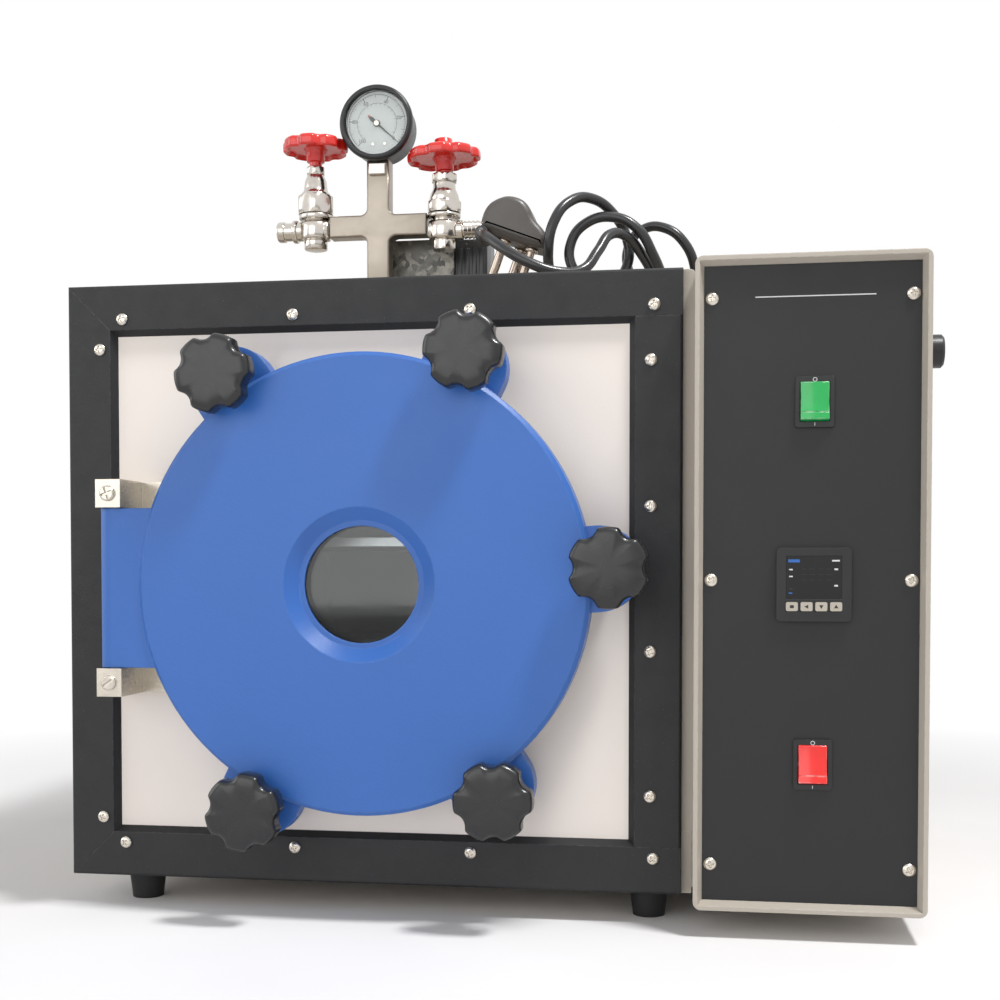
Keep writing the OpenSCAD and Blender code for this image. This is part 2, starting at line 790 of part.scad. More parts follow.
// One pierced shelf, lying on its runners
module shelf(i) {
  w = 2 * shelf_half_ws[i];
  holes_x = floor(w / shelf_pitch);
  holes_y = floor(shelf_l / shelf_pitch);
  translate([chamber_offset, shelf_start, door_z + shelf_zs[i]]) difference() {
    union() {
      translate([-w / 2, 0, 0]) cube([w, shelf_l, shelf_t]);
      translate([-w / 2, 0, 0]) cube([w, shelf_t, shelf_lip]);
    }
    for (x = [0:holes_x - 1], y = [0:holes_y - 1])
      translate([(x - (holes_x - 1) / 2) * shelf_pitch, shelf_l / 2 + (y - (holes_y - 1) / 2) * shelf_pitch, -1])
        cylinder(shelf_t + 2, d = shelf_hole_d);
  }
}

module lower_shelf() color("#c2c4c6") stand() shelf(0);
module upper_shelf() color("#c2c4c6") stand() shelf(1);

module heater_bands() color("#8d8f92") stand() difference() {
  along_chamber() for (y = band_ys) translate([0, 0, y]) ring(shell_r + band_t, shell_r, band_w);
  suction_place() translate([0, 0, door_z]) cylinder(case_h, d = pipe_d + 6);
}

// The sensor's pocket enters through the rear plate, above the shelves
module at_probe() translate([chamber_offset + probe_x, chamber_back, door_z + probe_up]) rotate([-90, 0, 0]) children();

module probe_hole(r) at_probe() translate([0, 0, -1]) cylinder(rear_plate_t + jacket_wall + 2, r = r);

module insulation_jacket() color("#d8cfae") stand() difference() {
  along_chamber() difference() {
    translate([0, 0, jacket_front]) cylinder(jacket_back - jacket_front, r = jacket_r);
    translate([0, 0, jacket_front - 1])
      cylinder(chamber_back + rear_plate_t + seat_gap - jacket_front + 1, r = jacket_in_r);
  }
  suction_place() translate([0, 0, door_z]) cylinder(case_h, d = pipe_d + 2 * free_gap);
  probe_hole(probe_nut / 2 + 2 * free_gap + 1.5);
}

module temperature_probe() color("#cfd1d3") stand() at_probe() {
  translate([0, 0, -probe_in]) cylinder(probe_in + rear_plate_t + probe_out, r = probe_r);
  translate([0, 0, rear_plate_t]) hexagon(probe_nut, probe_nut_h);
}

// The pipe stands on the chamber's wall over its suction port and ends in the manifold's foot
module suction_pipe() color("#b9bbbd") stand() difference() {
  suction_place() translate([0, 0, door_z]) cylinder(case_top + 4 - door_z, d = pipe_d);
  suction_place() translate([0, 0, door_z - 1]) cylinder(case_h, d = pipe_d - 4);
  along_chamber() cylinder(chamber_l, r = shell_r);
}

// ---------- Manifold on the roof ----------

// A shape whose XY plane faces front, drawn from the roof up at the manifold's depth
module on_roof(x) translate([x - manifold_x, manifold_y, case_top]) rotate([90, 0, 0]) children();

module manifold_outline() {
  translate([-stem_w / 2, manifold_foot_h]) square([stem_w, stem_top - manifold_foot_h]);
  translate([-left_arm, arm_z - arm_h / 2]) square([left_arm + right_arm, arm_h]);
  for (side = [-1, 1], up = [-1, 1])
    translate([side * stem_w / 2, arm_z + up * arm_h / 2]) scale([side, up]) difference() {
      translate([-eps, -eps]) square(cross_fillet + eps);
      translate([cross_fillet, cross_fillet]) circle(cross_fillet);
    }
}

module manifold_cross() color("#a39c92") stand() difference() {
  union() {
    on_roof(0) translate([0, 0, -bar_depth / 2]) linear_extrude(bar_depth) manifold_outline();
    // Foot on the roof, and the square lock nut below the gauge
    on_roof(0) rotate([-90, 0, 0]) cylinder(manifold_foot_h + eps, d = foot_d);
    on_roof(0) translate([-lock_w / 2, stem_top - lock_drop, bar_depth / 2 - eps]) cube([lock_w, lock_h, lock_t]);
  }
  suction_place() translate([0, 0, case_top - 1]) cylinder(5, d = pipe_d + running);
}

// A needle valve's body on an arm's end: side is -1 on the left and 1 on the right.
// It stands on its cap, with a bonnet nut and a packing nut that the spindle passes through.
module valve_body(x, side, drop, nozzle_r, bonnet_flats, bonnet_h, neck_r, neck_h, packing_flats) {
  low = valve_low(drop);
  high = low + valve_h;
  bonnet = bonnet_low(drop);
  nozzle_z = (low + high) / 2;
  translate([x - manifold_x, manifold_y, case_top]) difference() {
    union() {
      block([-valve_w / 2, -valve_depth / 2, low], [valve_w / 2, valve_depth / 2, high]);
      translate([0, 0, low - valve_cap_h]) cylinder(valve_cap_h + eps, r = valve_w / 2 - valve_cap_in);
      translate([0, 0, high - eps]) cylinder(bonnet - high + 2 * eps, r = valve_w / 2 - collar_in);
      translate([0, 0, bonnet]) hexagon(bonnet_flats, bonnet_h);
      translate([0, 0, bonnet + bonnet_h - eps]) cylinder(neck_h + eps, r1 = neck_r + 2, r2 = neck_r);
      translate([0, 0, bonnet + bonnet_h + neck_h - eps]) hexagon(packing_flats, packing_h + eps);
      translate([side * valve_w / 2, 0, nozzle_z]) rotate([0, side * 90, 0])
        cylinder(nozzle_l, r = nozzle_r);
    }
    translate([0, 0, bonnet + collar_h]) cylinder(spindle_l * 2, r = spindle_r + running);
    translate([side * (valve_w / 2 - collar_h), 0, nozzle_z]) rotate([0, side * 90, 0])
      cylinder(nozzle_l * 2, r = nozzle_r - nozzle_wall);
  }
}

module vent_valve_body() color("#c9c5be") stand()
  valve_body(left_valve_x, -1, 0, vent_nozzle_r, vent_bonnet, vent_bonnet_h, vent_neck_r, vent_neck_h, vent_packing);

module vacuum_valve_body() color("#c9c5be") stand()
  valve_body(right_valve_x, 1, vacuum_drop, vacuum_nozzle_r, vacuum_bonnet, vacuum_bonnet_h,
             vacuum_neck_r, vacuum_neck_h, vacuum_packing);

// A fluted handwheel with its hub, spindle and cap: low is its rim above the roof
module handwheel(x, d, low, t, cap_h) translate([x - manifold_x, manifold_y, case_top + low]) {
  intersection() {
    linear_extrude(t) fluted(d / 2, wheel_flutes, wheel_flute_r, wheel_flute_deep);
    translate([0, 0, -eps]) softened_disc(d / 2, t + 2 * eps);
  }
  translate([0, 0, -hub_l]) cylinder(hub_l + eps, r = hub_r);
  translate([0, 0, -spindle_l]) cylinder(spindle_l - hub_l + eps, r = spindle_r);
  translate([0, 0, t - eps]) cylinder(cap_h, r1 = hub_r, r2 = hub_r - 0.5);
}

module vent_handwheel() color("#cf2a23") stand()
  handwheel(left_valve_x, vent_wheel_d, vent_wheel_low, vent_wheel_t, vent_cap_h);
module vacuum_handwheel() color("#cf2a23") stand()
  handwheel(right_valve_x, vacuum_wheel_d, vacuum_wheel_low, vacuum_wheel_t, vacuum_cap_h);

// Galvanised terminal box behind the right arm, with a black end block beside it
module terminal_box() color("#6d6c68") stand() translate([terminal_x, manifold_y + foot_d / 2 + 2 * seat_gap, case_top]) {
  difference() {
    cube([terminal_w, terminal_d, terminal_h]);
    translate([sheet, sheet, -1]) cube([terminal_w - 2 * sheet, terminal_d - 2 * sheet, terminal_h + 1 - sheet]);
  }
  translate([terminal_w - eps, end_block_in, 0]) cube([end_block_w, terminal_d - 2 * end_block_in, terminal_h]);
}

// ---------- Gauge ----------

// A shape along the gauge's axis: Z = 0 lies at the bezel's front, and the case is below it
module at_gauge() on_roof(1) translate([0, gauge_z, gauge_depth / 2]) children();

module gauge_case() color("#1c1c1e") stand() difference() {
  union() {
    at_gauge() rotate_extrude() {
      r = gauge_d / 2;
      polygon(concat(
        [[0, -gauge_depth], [r - 3.7, -gauge_depth]], arc(r - 3.7, -gauge_depth + 1.5, 1.5, 270, 360, 4),
        [[r - 2.2, -6.5], [r, -5.5]], arc(r - 1.8, -1.8, 1.8, 0, 90, 4),
        [[r - 4.6, 0], [r - 5.3, glass_front], [dial_r + 0.1, glass_front], [dial_r + 0.1, dial_back],
         [dial_r - 3, dial_back], [dial_r - 3, 2 - gauge_depth], [0, 2 - gauge_depth]]));
    }
    // Neck that screws into the manifold's stem
    on_roof(0) translate([-neck_w / 2, stem_top, -neck_t / 2]) cube([neck_w, neck_t / 2, neck_t]);
  }
  at_gauge() translate([0, 0, 2 - gauge_depth]) cylinder(gauge_depth, r = dial_r - 3);
}

module gauge_dial() color("#eef0ee") stand() at_gauge() {
  translate([0, 0, dial_back]) cylinder(0.8, r = dial_r);
  translate([0, 0, dial_back]) cylinder(2.4, r = 0.8);
}

module gauge_glass() color("#dfe8ea", 0.4) stand() at_gauge()
  translate([0, 0, glass_front - 1.6]) cylinder(1.5, r = dial_r);

// The needle turns on the dial's pin; at rest it points to the lower right, at zero
module gauge_needle() color("#1b1b1c") stand() at_gauge() translate([0, 0, dial_back + 1.1]) rotate(needle_rest)
  difference() {
    union() {
      cylinder(0.8, r = 2.4);
      linear_extrude(0.6) polygon([[0, -0.9], [dial_r - 4, -0.25], [dial_r - 3, 0], [dial_r - 4, 0.25], [0, 0.9]]);
      linear_extrude(0.6) polygon([[0, 1], [-5, 1.9], [-8.5, 0.5], [-8.5, -0.5], [-5, -1.9], [0, -1]]);
    }
    translate([0, 0, -1]) cylinder(3, r = 0.8 + running);
  }

// ---------- Hinge ----------

module set_screw(slots) difference() {
  union() {
    translate([0, 0, -1]) cylinder(2.6, d = 10);
    translate([0, 0, 1.6 - eps]) cylinder(0.9, d1 = 10, d2 = 8.2);
  }
  for (a = slots) rotate(a) translate([-3.8, -0.7, 1.1]) cube([7.6, 1.4, 3]);
}

// A bracket: a block round the pin, with a tab that lies on the front panel
module bracket(low) difference() {
  union() {
    block([pin_x - bracket_w / 2, -bracket_front, low], [pin_x + bracket_w / 2, lip_d, low + bracket_h]);
    facing_front(pin_x, low + bracket_h / 2) translate([(bracket_w / 2 + tab_w) / 2, 0, -lip_d])
      linear_extrude(tab_t) round_rect(bracket_w / 2 + tab_w, bracket_h, 4);
  }
  translate([pin_x, -pin_y, low - 1]) cylinder(bracket_h + 2, d = pin_d + 2 * running);
}

module hinge_brackets() color("#b5afa5") stand() {
  bracket(upper_bracket_z);
  bracket(lower_bracket_z);
  facing_front(pin_x, upper_bracket_z + bracket_h / 2) translate([0, 0, bracket_front]) set_screw([20, 110]);
  facing_front(pin_x, lower_bracket_z + bracket_h / 2) translate([0, 0, bracket_front]) set_screw([35]);
}

module hinge_pin() color("#cfcac2") stand() translate([pin_x, -pin_y, lower_bracket_z + 1])
  cylinder(upper_bracket_z + bracket_h - lower_bracket_z - 1, d = pin_d);

// ---------- Door ----------

module at_door() facing_front(chamber_offset, door_z) children();

module door() color("#3f6fb5") stand() difference() {
  union() {
    at_door() {
      rotate_extrude() polygon([
        [0, door_back], [door_d / 2 - 1, door_back], [door_d / 2, door_back + 1],
        [door_d / 2, door_front - door_chamfer], [door_d / 2 - door_chamfer, door_front], [0, door_front]]);
      translate([0, 0, lug_back]) linear_extrude(lug_t) for (a = clamp_angles) rotate(a) {
        translate([door_d / 2 - 20, -lug_end_r]) square([lug_mid_r - door_d / 2 + 20, lug_w]);
        translate([lug_mid_r, 0]) circle(lug_end_r);
      }
      translate([pin_x - chamber_offset, hinge_z - door_z - barrel_h / 2, door_back])
        cube([hinge_reach - door_d / 2 + 30, barrel_h, 2 * barrel_r]);
    }
    translate([pin_x, -pin_y, hinge_z - barrel_h / 2]) cylinder(barrel_h, r = barrel_r);
  }
  translate([pin_x, -pin_y, hinge_z - barrel_h / 2 - 1]) cylinder(barrel_h + 2, d = pin_d + 2 * running);
  at_door() {
    at_clamps() translate([0, 0, lug_back - 1]) cylinder(lug_t + 2, d = stud_d + 2 * free_gap);
    translate([0, 0, door_front - recess_deep]) cylinder(recess_deep + eps, d1 = view_d + 7, d2 = recess_d);
    translate([0, 0, door_back - 1]) cylinder(door_t, d = view_d);
    translate([0, 0, door_back - 1]) cylinder(pocket_front - door_back + 1, d = glass_d + 2 * seat_gap);
  }
}

module sight_glass() color("#9fb0b5", 0.4) stand() at_door()
  translate([0, 0, pocket_front - glass_t]) cylinder(glass_t, d = glass_d);

module glass_ring() color("#b4b6b8") stand() at_door() {
  translate([0, 0, door_back + free_gap])
    ring(glass_d / 2, view_d / 2, pocket_front - glass_t - door_back - free_gap);
}

// ---------- Clamps ----------

module at_clamp(i) at_door() rotate(clamp_angles[i]) translate([clamp_circle_r, 0, 0])
  rotate(knob_turns[i] - clamp_angles[i]) children();

module clamp_washer(i) at_clamp(i) translate([0, 0, washer_back])
  ring(washer_d / 2, stud_d / 2 + running, washer_t);

// A star knob moulded round the head of its stud
module clamp_knob(i) at_clamp(i) {
  grip_back = knob_back + knob_hub_h;
  intersection() {
    translate([0, 0, grip_back]) linear_extrude(knob_h - knob_hub_h)
      fluted(knob_d / 2, knob_flutes, knob_flute_r, knob_flute_deep);
    rotate_extrude() polygon(concat([[0, grip_back], [knob_d / 2 - 1.5, grip_back], [knob_d / 2 + 1, grip_back + 2.5]],
      arc(knob_d / 2 - 3, knob_front - 5, 4, 0, 75, 5), [[knob_d / 5, knob_front], [0, knob_front]]));
  }
  translate([0, 0, knob_back]) cylinder(knob_hub_h + eps, r = washer_d / 2 + 0.5);
  translate([0, 0, stud_tip]) cylinder(knob_back - stud_tip + eps, d = stud_d);
}

// ---------- Control box ----------

// A box-shaped opening whose four sides slope: its size at Z = 0 and at Z = h
module sloped_opening(w1, h1, w2, h2, h) intersection() {
  translate([0, h2, 0]) rotate([90, 0, 0]) linear_extrude(2 * h2)
    polygon([[-w1 / 2, 0], [w1 / 2, 0], [w2 / 2, h], [-w2 / 2, h]]);
  translate([-w2, 0, 0]) rotate([90, 0, 90]) linear_extrude(2 * w2)
    polygon([[-h1 / 2, 0], [h1 / 2, 0], [h2 / 2, h], [-h2 / 2, h]]);
}

module at_box() facing_front(box_x, box_z) children();

module control_box() color("#c4bcae") stand() {
  bevel = trim_w / 2;
  difference() {
    at_box() translate([0, 0, -case_back]) difference() {
      linear_extrude(case_back + box_out) round_rect(box_w, box_h, box_round);
      translate([0, 0, sheet]) linear_extrude(case_back + box_out - sheet - trim_d)
        round_rect(box_w - 2 * sheet, box_h - 2 * sheet, box_round - sheet);
      translate([0, 0, case_back + box_out - trim_d - eps])
        sloped_opening(box_w - 2 * trim_w, box_h - 2 * trim_w, box_w - 2 * bevel, box_h - 2 * bevel, trim_d + 2 * eps);
    }
    at_fuse() translate([0, 0, -sheet - 1]) cylinder(sheet + 2, r = fuse_body_r + running);
    at_gland() translate([0, 0, -sheet - 1]) cylinder(sheet + 2, r = gland_r + running);
  }
}

// Centres of the two switches and the controller, seen from the front
module at_panel(z) facing_front(control_x, z) translate([0, 0, -panel_y]) children();

module control_panel() color("#232427") stand() difference() {
  at_box() translate([0, 0, -panel_y - control_panel_t]) linear_extrude(control_panel_t)
    round_rect(box_w - 2 * sheet - running, box_h - 2 * sheet - running, box_round - sheet);
  for (z = [mains_z, heating_z]) at_panel(z) translate([0, 0, -3])
    linear_extrude(4) square([switch_w - 3 + seat_gap, switch_h - 3 + seat_gap], center = true);
  at_panel(meter_z) translate([0, 0, -3])
    linear_extrude(4) square([meter_w - 3 + seat_gap, meter_w - 3 + seat_gap], center = true);
  at_box() translate([0, 0, -panel_y - 3]) at_panel_screws() cylinder(4, d = screw_hole_d);
}

// A rocker switch's housing: its bezel lies on the panel, and the rocker turns in its pocket
module switch_housing() difference() {
  union() {
    linear_extrude(bezel_t) round_rect(switch_w, switch_h, 1.5);
    translate([0, 0, -26]) linear_extrude(26 + eps) square([switch_w - 3, switch_h - 3], center = true);
  }
  translate([0, 0, -14]) linear_extrude(30) square([rocker_w + 0.6, 2 * pocket_r], center = true);
  translate([-rocker_w / 2 - 1.1, 0, rocker_axis]) rotate([0, 90, 0]) cylinder(rocker_w + 2.2, r = 1.2 + running);
}

module switch_housings() color("#202124") stand() {
  at_panel(mains_z) switch_housing();
  at_panel(heating_z) switch_housing();
}

// A rocker with a slightly hollow face and trunnions; at rest its lower end stands out
module rocker() translate([0, 0, rocker_axis]) rotate([-rocker_tilt, 0, 0]) {
  r = pocket_r - 0.3;
  intersection() {
    rotate([90, 0, 90]) translate([0, 0, -rocker_w / 2]) linear_extrude(rocker_w)
      polygon([[-r, 4.4], [0, 3.4], [r, 4.4], [r, -3], [5, -10], [-5, -10], [-r, -3]]);
    rotate([0, 90, 0]) cylinder(rocker_w + 2, r = r, center = true);
  }
  rotate([0, 90, 0]) cylinder(rocker_w + 2, r = 1.2, center = true);
}

module mains_rocker() color("#1f9a57") stand() at_panel(mains_z) rocker();
module heating_rocker() color("#c8322b") stand() at_panel(heating_z) rocker();

module controller_case() color("#1d1e20") stand() at_panel(meter_z) difference() {
  union() {
    linear_extrude(meter_bezel_t) round_rect(meter_w, meter_w, 2.5);
    translate([0, 0, -meter_depth]) linear_extrude(meter_depth + eps) square(meter_w - 3, center = true);
  }
  translate([0, window_up, meter_bezel_t - 1.4]) linear_extrude(3)
    square([window_w + 0.2, window_h + 0.2], center = true);
  for (i = [0:3]) translate([(i - 1.5) * button_pitch, -button_drop, -0.5]) linear_extrude(6)
    square([button_w + 0.2, button_h + 0.2], center = true);
}

module controller_window() color("#2c3238") stand() at_panel(meter_z)
  translate([0, window_up, meter_bezel_t - 1.4]) linear_extrude(1.2) square([window_w, window_h], center = true);

module controller_button(i) at_panel(meter_z) translate([(i - 1.5) * button_pitch, -button_drop, 0.5])
  linear_extrude(meter_bezel_t + button_proud - 0.5) round_rect(button_w, button_h, 1);

module set_button() color("#c9c2b2") stand() controller_button(0);
module shift_button() color("#c9c2b2") stand() controller_button(1);
module down_button() color("#c9c2b2") stand() controller_button(2);
module up_button() color("#c9c2b2") stand() controller_button(3);

module at_fuse() translate([box_right, fuse_y, box_top - fuse_drop]) rotate([0, 90, 0]) children();

module fuse_holder() color("#1a1a1b") stand() at_fuse() difference() {
  union() {
    translate([0, 0, -fuse_body_l]) cylinder(fuse_body_l + eps, r = fuse_body_r);
    cylinder(3, d = fuse_d - 1.5);
    translate([0, 0, 3 - eps]) cylinder(fuse_out - 4.5, d = fuse_d);
    translate([0, 0, fuse_out - 1.5 - 2 * eps]) cylinder(1.5, d1 = fuse_d, d2 = fuse_d - 3);
  }
  translate([-5, -0.8, fuse_out - 1.5]) cube([10, 1.6, 3]);
}

// ---------- Mains cord ----------

module at_gland() translate([gland_x, case_back, gland_z]) rotate([-90, 0, 0]) children();

module cord_gland() color("#202022") stand() at_gland() {
  translate([0, 0, -sheet - gland_nut_h]) cylinder(sheet + gland_nut_h + eps, r = gland_r);
  hexagon(gland_nut, gland_nut_h);
  translate([0, 0, gland_nut_h - eps]) cylinder(gland_out - gland_nut_h + eps, r1 = gland_r + 1.6, r2 = cord_r + 1.2);
}

function unit(v) = v / norm(v);
function heading(path, i) = unit(path[min(i + 1, len(path) - 1)] - path[max(i - 1, 0)]);

// Sideways directions, carried along a path without twisting
function sideways(path, i = 0, last = [0, 0.1, 1]) =
  i == len(path) ? [] :
  let (t = heading(path, i), side = unit(last - (last * t) * t))
  concat([side], sideways(path, i + 1, side));

// A round tube along a path, with a ring of points at each of the path's points
module tube(path) {
  n = cord_sides;
  sides = sideways(path);
  last = n * (len(path) - 1);
  points = [
    for (i = [0:len(path) - 1], k = [0:n - 1])
      let (other = cross(heading(path, i), sides[i]), a = 360 * k / n)
      path[i] + cord_r * (cos(a) * sides[i] + sin(a) * other)
  ];
  walls = [
    for (i = [0:len(path) - 2], k = [0:n - 1], half = [0, 1])
      let (a = i * n + k, b = i * n + (k + 1) % n)
      half == 0 ? [a, a + n, b + n] : [a, b + n, b]
  ];
  polyhedron(points, concat([[for (k = [0:n - 1]) k]], walls, [[for (k = [n - 1:-1:0]) last + k]]));
}

// A route whose ends are led to where the pieces they meet are
function led(path, start, end) =
  let (n = len(path) - 1, from = start - path[0], to = end - path[n])
  [for (i = [0:n]) path[i] + from * (1 - i / n) + to * i / n];

// The cord's two lying stretches: from the gland onto the coil, and from under the coil to the plug
module mains_cord() color("#2f3032") {
  origin = [shift_x, shift_y, 0];
  coil_side = origin + [coil_mid[0] + coil_r, coil_mid[1], case_top + cord_r];
  coil_rise = [0, 0, (coil_turns - 1) * coil_pitch];
  tube(led(tail_route, origin + [gland_x, case_back + gland_out, gland_z], coil_side + coil_rise));
  tube(led(main_route, coil_side, origin + plug_mouth));
}

// The turns of the cord, coiled up on the roof
module cord_coil() color("#2f3032") stand() translate([coil_mid[0], coil_mid[1], case_top]) rotate_extrude()
  translate([coil_r, cord_r]) {
    for (turn = [0:coil_turns - 1]) translate([0, turn * coil_pitch]) circle(cord_r, $fn = 12);
    translate([-coil_web / 2, 0]) square([coil_web, (coil_turns - 1) * coil_pitch]);
  }

// ---------- Plug ----------

// The plug leans on its right-hand pin: X runs along its face and Z away from the pins' tips
module at_plug() translate([plug_at[0], plug_at[1], case_top + pin_tip_r * sin(plug_lean)]) rotate([0, plug_lean, 0]) children();

// The plug's body seen from the front, from its pin face at the bottom up to its round back
module plug_outline() polygon([
  [-33, plug_face], [5, plug_face], [8, plug_face + 4], [8, plug_face + 9], [5, plug_face + 14],
  [-3, plug_face + 17.5], [-8, plug_face + 23], [-15, plug_face + 27.5], [-22, plug_face + 28],
  [-30, plug_face + 25], [-35, plug_face + 20], [-37, plug_face + 14]
]);

// A round pin with its collar, standing on Z = 0
module plug_pin(d) {
  translate([0, 0, pin_chamfer]) cylinder(plug_face - pin_chamfer + eps, d = d);
  cylinder(pin_chamfer + eps, d1 = d - 2 * pin_chamfer, d2 = d);
  translate([0, 0, plug_face - 2.5]) cylinder(2.5 + eps, d = d + 3);
}

module mains_plug() color("#55524f") stand() {
  at_plug() {
    rotate([90, 0, 0]) translate([0, 0, -plug_deep / 2]) linear_extrude(plug_deep) plug_outline();
    for (x = [-plug_pitch, 0]) translate([x, -plug_row, 0]) plug_pin(plug_pin_d);
    translate([-plug_pitch / 2, earth_row, 0]) plug_pin(earth_pin_d);
  }
  // The cord's sleeve looks to the front at the plug's lower left
  translate(plug_mouth) rotate([-90, 0, 0]) cylinder(sleeve_l, r1 = cord_r + 1, r2 = cord_r + 3);
}

// ---------- Moving pieces of the door ----------

module clamp_washer_1() color("#c9c5be") stand() clamp_washer(0);
module clamp_washer_2() color("#c9c5be") stand() clamp_washer(1);
module clamp_washer_3() color("#c9c5be") stand() clamp_washer(2);
module clamp_washer_4() color("#c9c5be") stand() clamp_washer(3);
module clamp_washer_5() color("#c9c5be") stand() clamp_washer(4);

module clamp_knob_1() color("#1c1c1e") stand() clamp_knob(0);
module clamp_knob_2() color("#1c1c1e") stand() clamp_knob(1);
module clamp_knob_3() color("#1c1c1e") stand() clamp_knob(2);
module clamp_knob_4() color("#1c1c1e") stand() clamp_knob(3);
module clamp_knob_5() color("#1c1c1e") stand() clamp_knob(4);

cabinet_shell();
base_pan();
rear_panel();
front_panel();
frame_top_rail();
frame_bottom_rail();
frame_left_rail();
frame_right_rail();
pan_head_screws();
rubber_feet();
chamber();
chamber_flange();
door_gasket();
lower_shelf();
upper_shelf();
heater_bands();
insulation_jacket();
temperature_probe();
suction_pipe();
terminal_box();
manifold_cross();
vent_valve_body();
vacuum_valve_body();
gauge_case();
gauge_dial();
gauge_glass();
gauge_needle();
hinge_brackets();
hinge_pin();
control_box();
control_panel();
switch_housings();
controller_case();
controller_window();
fuse_holder();
cord_gland();
mains_cord();
cord_coil();
mains_plug();
door();
sight_glass();
glass_ring();
clamp_washer_1();
clamp_washer_2();
clamp_washer_3();
clamp_washer_4();
clamp_washer_5();
clamp_knob_1();
clamp_knob_2();
clamp_knob_3();
clamp_knob_4();
clamp_knob_5();
vent_handwheel();
vacuum_handwheel();
mains_rocker();
heating_rocker();
set_button();
shift_button();
down_button();
up_button();
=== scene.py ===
import json
import math

import bmesh
import bpy
from mathutils import Matrix, Vector


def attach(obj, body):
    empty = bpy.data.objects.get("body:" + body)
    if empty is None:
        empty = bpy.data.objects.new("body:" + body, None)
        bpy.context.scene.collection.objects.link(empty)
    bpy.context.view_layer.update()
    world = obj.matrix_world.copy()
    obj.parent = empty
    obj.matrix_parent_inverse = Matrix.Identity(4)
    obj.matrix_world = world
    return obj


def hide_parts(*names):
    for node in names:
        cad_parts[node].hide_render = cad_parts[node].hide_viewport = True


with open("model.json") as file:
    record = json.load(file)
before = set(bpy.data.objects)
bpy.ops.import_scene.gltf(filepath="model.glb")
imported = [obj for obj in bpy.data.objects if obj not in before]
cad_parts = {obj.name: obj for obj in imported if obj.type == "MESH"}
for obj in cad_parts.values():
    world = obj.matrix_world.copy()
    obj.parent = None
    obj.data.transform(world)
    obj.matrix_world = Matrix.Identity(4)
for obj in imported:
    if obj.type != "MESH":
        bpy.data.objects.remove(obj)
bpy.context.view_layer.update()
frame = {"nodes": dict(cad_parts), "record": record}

# ---------- Places and small shape helpers, in the oven's millimetres ----------

# The frame's middle is X = 0 and its face is Y = 0; STAND turns such a place into the part's metres
STAND = Matrix.Diagonal((0.001, 0.001, 0.001, 1)) @ Matrix.Translation((-81, -196.925, 0))
FRONT = Matrix.Rotation(math.radians(90), 4, "X")


def shift(x, y, z):
    return Matrix.Translation((x, y, z))


def turn(angle, axis="Z"):
    return Matrix.Rotation(math.radians(angle), 4, axis)


def loft(bm, loops, at=Matrix()):
    """Skins a row of closed loops that have the same number of points, and caps both ends."""
    rings = [[bm.verts.new(at @ Vector(p)) for p in loop] for loop in loops]
    n = len(rings[0])
    for a, b in zip(rings, rings[1:]):
        for i in range(n):
            j = (i + 1) % n
            bm.faces.new((a[i], a[j], b[j], b[i]))
    bm.faces.new(list(reversed(rings[0])))
    bm.faces.new(rings[-1])


def circle(r, z, n=64):
    angles = [math.tau * i / n for i in range(n)]
    return [(r * math.cos(a), r * math.sin(a), z) for a in angles]


def lathe(bm, profile, n=64, at=Matrix()):
    """Turns a profile of (radius, height) pairs round Z."""
    loft(bm, [circle(r, z, n) for r, z in profile], at)


NUT_SIDES = 6
NUT_CORNER = 0.25
POINTS_A_SIDE = 6


def nut_loop(flats, z, corner):
    """A nut's outline given across its flats, with its corners cut back by the given amount to a circle."""
    half = flats / 2
    limit = half / math.cos(math.pi / NUT_SIDES) - corner
    n = NUT_SIDES * POINTS_A_SIDE
    loop = []
    for i in range(n):
        a = math.tau * i / n
        off = (a + math.pi / NUT_SIDES) % (math.tau / NUT_SIDES) - math.pi / NUT_SIDES
        r = min(half / math.cos(off), limit)
        loop.append((r * math.cos(a), r * math.sin(a), z))
    return loop


def nut(bm, flats, low, high, chamfer, at):
    """A hexagonal nut between two heights, chamfered to a round face at both ends."""
    corner_past_flats = flats / 2 * (1 / math.cos(math.pi / NUT_SIDES) - 1)
    round_face = corner_past_flats * 1.02
    loft(bm, [
        nut_loop(flats, low, round_face),
        nut_loop(flats, low + chamfer, NUT_CORNER),
        nut_loop(flats, high - chamfer, NUT_CORNER),
        nut_loop(flats, high, round_face),
    ], at)


def box(bm, low, high, at=Matrix(), soft=0.0):
    """A block given by two corners, with its edges rounded by soft."""
    made = bmesh.ops.create_cube(bm, size=1.0)["verts"]
    for v in made:
        v.co = at @ Vector([(low[k] if v.co[k] < 0 else high[k]) for k in range(3)])
    if soft:
        edges = list({e for v in made for e in v.link_edges})
        bmesh.ops.bevel(bm, geom=edges, offset=soft, segments=3, affect="EDGES", profile=0.5)


def inset(loop, d, z):
    """The loop moved inwards by d in its own plane and laid at height z."""
    out = []
    n = len(loop)
    for i, p in enumerate(loop):
        a, b = Vector(loop[i - 1][:2]), Vector(loop[(i + 1) % n][:2])
        t = (b - a).normalized()
        out.append((p[0] - t.y * d, p[1] + t.x * d, z))
    return out


